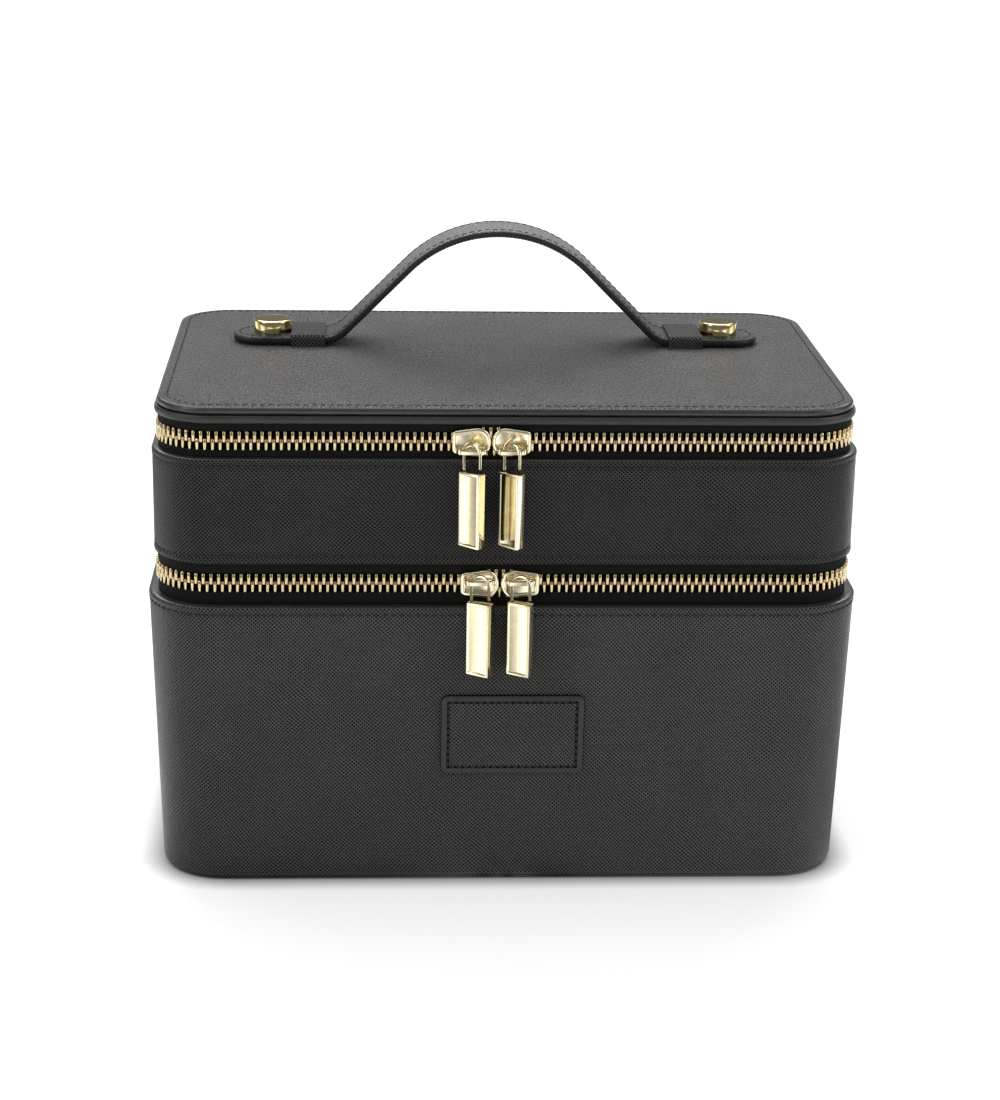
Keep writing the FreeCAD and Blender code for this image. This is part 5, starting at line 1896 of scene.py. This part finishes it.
@dataclass(frozen=True)
class SoftBox:
    """A rectangular lamp that faces the case."""

    name: str
    place: Triple
    size: Pair
    power: float

    def hang(self, target: Vector) -> None:
        """Hangs the lamp, turned to a target.

        Args:
            target: the point that it faces.
        """
        data = bpy.data.lights.new(self.name, "AREA")
        data.shape = "RECTANGLE"
        data.size, data.size_y = self.size
        data.energy = self.power
        lamp = bpy.data.objects.new(self.name, data)
        lamp.location = self.place
        lamp.rotation_euler = (target - Vector(self.place)).to_track_quat("-Z", "Y").to_euler()
        bpy.context.scene.collection.objects.link(lamp)


@dataclass(frozen=True)
class Studio:
    """The pale floor, the soft lamps and the camera at the photograph's angle."""

    eye: Triple = (-0.043437, -0.828875, 0.356958)
    focal_px: float = 2510.09
    frame_px: float = 1100.0
    sensor: float = 36.0
    pitch: float = math.radians(17.777)
    yaw: float = math.radians(3.101)
    roll: float = math.radians(1.027)
    floor_size: float = 12.0
    floor_gap: float = 0.0002
    shadow_reach: float = 0.009
    shadow_power: float = 1.4
    band_middle: float = 80.0
    band_pitch: float = 0.9
    band_shift: float = 0.258
    band_dark: float = 0.22
    grey: float = 0.85
    grey_seen: float = 0.5
    glow_seen: float = 0.56
    glow_mirrored: float = 0.8
    sun_power: float = 1.7
    sun_spread: float = math.radians(50.0)
    sun_turn: Triple = (math.radians(-20.0), math.radians(-8.0), 0.0)
    aim: Triple = (0.0, 0.0, 0.1)
    boxes: tuple[SoftBox, ...] = (
        SoftBox("back_box", (0.1, 1.0, 0.95), (1.7, 0.5), 13.0),
        SoftBox("left_box", (-1.0, -0.6, 0.75), (0.5, 0.9), 4.0),
        SoftBox("right_box", (1.05, -0.4, 0.7), (0.45, 0.9), 4.0))

    def build(self) -> None:
        """Sets the stage."""
        self.place_camera()
        self.lay_floor()
        self.hang_lamps()
        self.paint_world()
        bpy.context.scene.view_settings.view_transform = "Standard"

    def place_camera(self) -> None:
        """The camera, from its place and its three turns."""
        level = math.cos(self.pitch)
        forward = Vector((math.sin(self.yaw) * level, math.cos(self.yaw) * level,
                          -math.sin(self.pitch)))
        right = Vector((math.cos(self.yaw), -math.sin(self.yaw), 0.0))
        above = right.cross(forward)
        across = right * math.cos(self.roll) + above * math.sin(self.roll)
        upright = above * math.cos(self.roll) - right * math.sin(self.roll)
        data = bpy.data.cameras.new("camera")
        data.sensor_width = self.sensor
        data.lens = self.focal_px * self.sensor / self.frame_px
        data.clip_start = 0.01
        camera = bpy.data.objects.new("camera", data)
        turn = Matrix((across, upright, -forward)).transposed().to_4x4()
        camera.matrix_world = Matrix.Translation(self.eye) @ turn
        bpy.context.scene.collection.objects.link(camera)
        bpy.context.scene.camera = camera

    def lay_floor(self) -> None:
        """A white floor, darker close to the case for the eye, banded for what mirrors it."""
        Bench.clear()
        bpy.ops.mesh.primitive_plane_add(size=self.floor_size, location=(0.0, 0.0, -self.floor_gap))
        floor = bpy.context.object
        floor.name = "floor"
        bpy.ops.object.transform_apply(location=True)
        sheet = NodeSheet("white_floor")
        rays = sheet.add("LightPath").outputs
        glossy = rays["Is Glossy Ray"]
        seen = sheet.math("MAXIMUM", rays["Is Camera Ray"], rays["Is Transmission Ray"])
        reach = {"Distance": self.shadow_reach}
        open_sky = sheet.add("AmbientOcclusion", reach, samples=24).outputs["AO"]
        open_sky = sheet.math("POWER", open_sky, self.shadow_power)
        shadow = sheet.math("MULTIPLY", seen, sheet.math("SUBTRACT", 1.0, open_sky))
        near = sheet.math("SUBTRACT", 1.0, shadow)
        spot = sheet.parts(sheet.object_mm())
        round_case = sheet.math("ARCTAN2", sheet.math("ADD", spot[1], self.band_middle), spot[0])
        round_case = sheet.math("ADD", round_case, self.band_shift)
        bands = sheet.span(sheet.ridges(round_case, self.band_pitch), self.band_dark, 1.0)
        mirrored = sheet.math("MULTIPLY", glossy, sheet.math("SUBTRACT", 1.0, bands))
        near = sheet.math("MULTIPLY", near, sheet.math("SUBTRACT", 1.0, mirrored))
        grey = sheet.math("MULTIPLY_ADD", seen, self.grey_seen - self.grey, self.grey)
        grey = sheet.math("MULTIPLY", near, grey)
        glow = sheet.math("MULTIPLY", seen, self.glow_seen)
        glow = sheet.math("MULTIPLY_ADD", glossy, self.glow_mirrored, glow)
        glow = sheet.math("MULTIPLY", near, glow)
        light = sheet.add("Emission", {"Color": (*WHITE, 1.0), "Strength": glow})
        cover = sheet.add("BsdfDiffuse", {"Color": grey})
        both = sheet.add("AddShader", {0: cover.outputs[0], 1: light.outputs[0]})
        sheet.add("OutputMaterial", {"Surface": both.outputs[0]})
        floor.data.materials.append(sheet.owner)

    def hang_lamps(self) -> None:
        """A wide soft sun from above, a soft box over the back and one at each side."""
        sun = bpy.data.lights.new("overhead", "SUN")
        sun.energy = self.sun_power
        sun.angle = self.sun_spread
        lamp = bpy.data.objects.new("overhead", sun)
        lamp.rotation_euler = self.sun_turn
        bpy.context.scene.collection.objects.link(lamp)
        for box in self.boxes:
            box.hang(Vector(self.aim))

    def paint_world(self) -> None:
        """White for the eye; for light and reflections, bright above and dim at the sides."""
        sheet = NodeSheet("studio", bpy.data.worlds)
        bpy.context.scene.world = sheet.owner
        height = sheet.parts(sheet.add("TexCoord").outputs["Generated"])[2]
        light = sheet.rise(height, (0.3, 0.75), (0.2, 0.5))
        eye = sheet.add("LightPath").outputs["Is Camera Ray"]
        seen = sheet.add("Mix", {0: eye, 2: light, 3: 1.0}).outputs[0]
        sky = sheet.add("Background", {0: (*WHITE, 1.0), "Strength": seen})
        sheet.add("OutputWorld", {0: sky.outputs[0]})


def note_sizes() -> None:
    """Updates the view layer."""
    bpy.context.view_layer.update()


def main() -> None:
    """Builds the case's assemblies in order and sets the stage."""
    logging.basicConfig(level=logging.INFO, format="%(name)s: %(message)s")
    wardrobe = Wardrobe()
    LowerCase(wardrobe).build()
    UpperTier(wardrobe).build()
    Lid(wardrobe).build()
    tier_bodies = ("lower_case", "upper_tier")
    lid_bodies = ("upper_tier", "lid")
    ZipChain(
        wardrobe, "tier", middle=102.9, chain=CASE.inset(3.3854), tape=CASE.inset(3.0854),
        bodies=tier_bodies, tape_heights=((88.6, 99.9), (105.9, 116.2)),
        slider_places=(-8.8, 4.1), bridge_lift=1.5, twists=(32.0, 31.0)).build()
    ZipChain(
        wardrobe, "lid", middle=149.3, chain=CASE.inset(4.3854), tape=CASE.inset(4.0854),
        bodies=lid_bodies, tape_heights=((136.8, 146.3), (152.3, 157.3)),
        slider_places=(-11.9, 0.6), bridge_lift=-2.2, twists=(40.0, 45.0)).build()
    HingeStrip(wardrobe, "tier_hinge_strip", tier_bodies, face=71.9,
               heights=(88.6, 116.2), bend=(96.5, 108.3)).build()
    HingeStrip(wardrobe, "lid_hinge_strip", lid_bodies, face=70.9,
               heights=(136.8, 157.3), bend=(144.8, 156.4)).build()
    StrapHandle(wardrobe).build()
    for node in ("lower_wall_board", "upper_wall_board", "base_board", "tray_board", "lid_board"):
        wardrobe.carry_over(node, wardrobe.board)
    wardrobe.carry_over("lid_mirror", wardrobe.mirror)
    Studio().build()
    note_sizes()


if __name__ == "__main__":
    main()
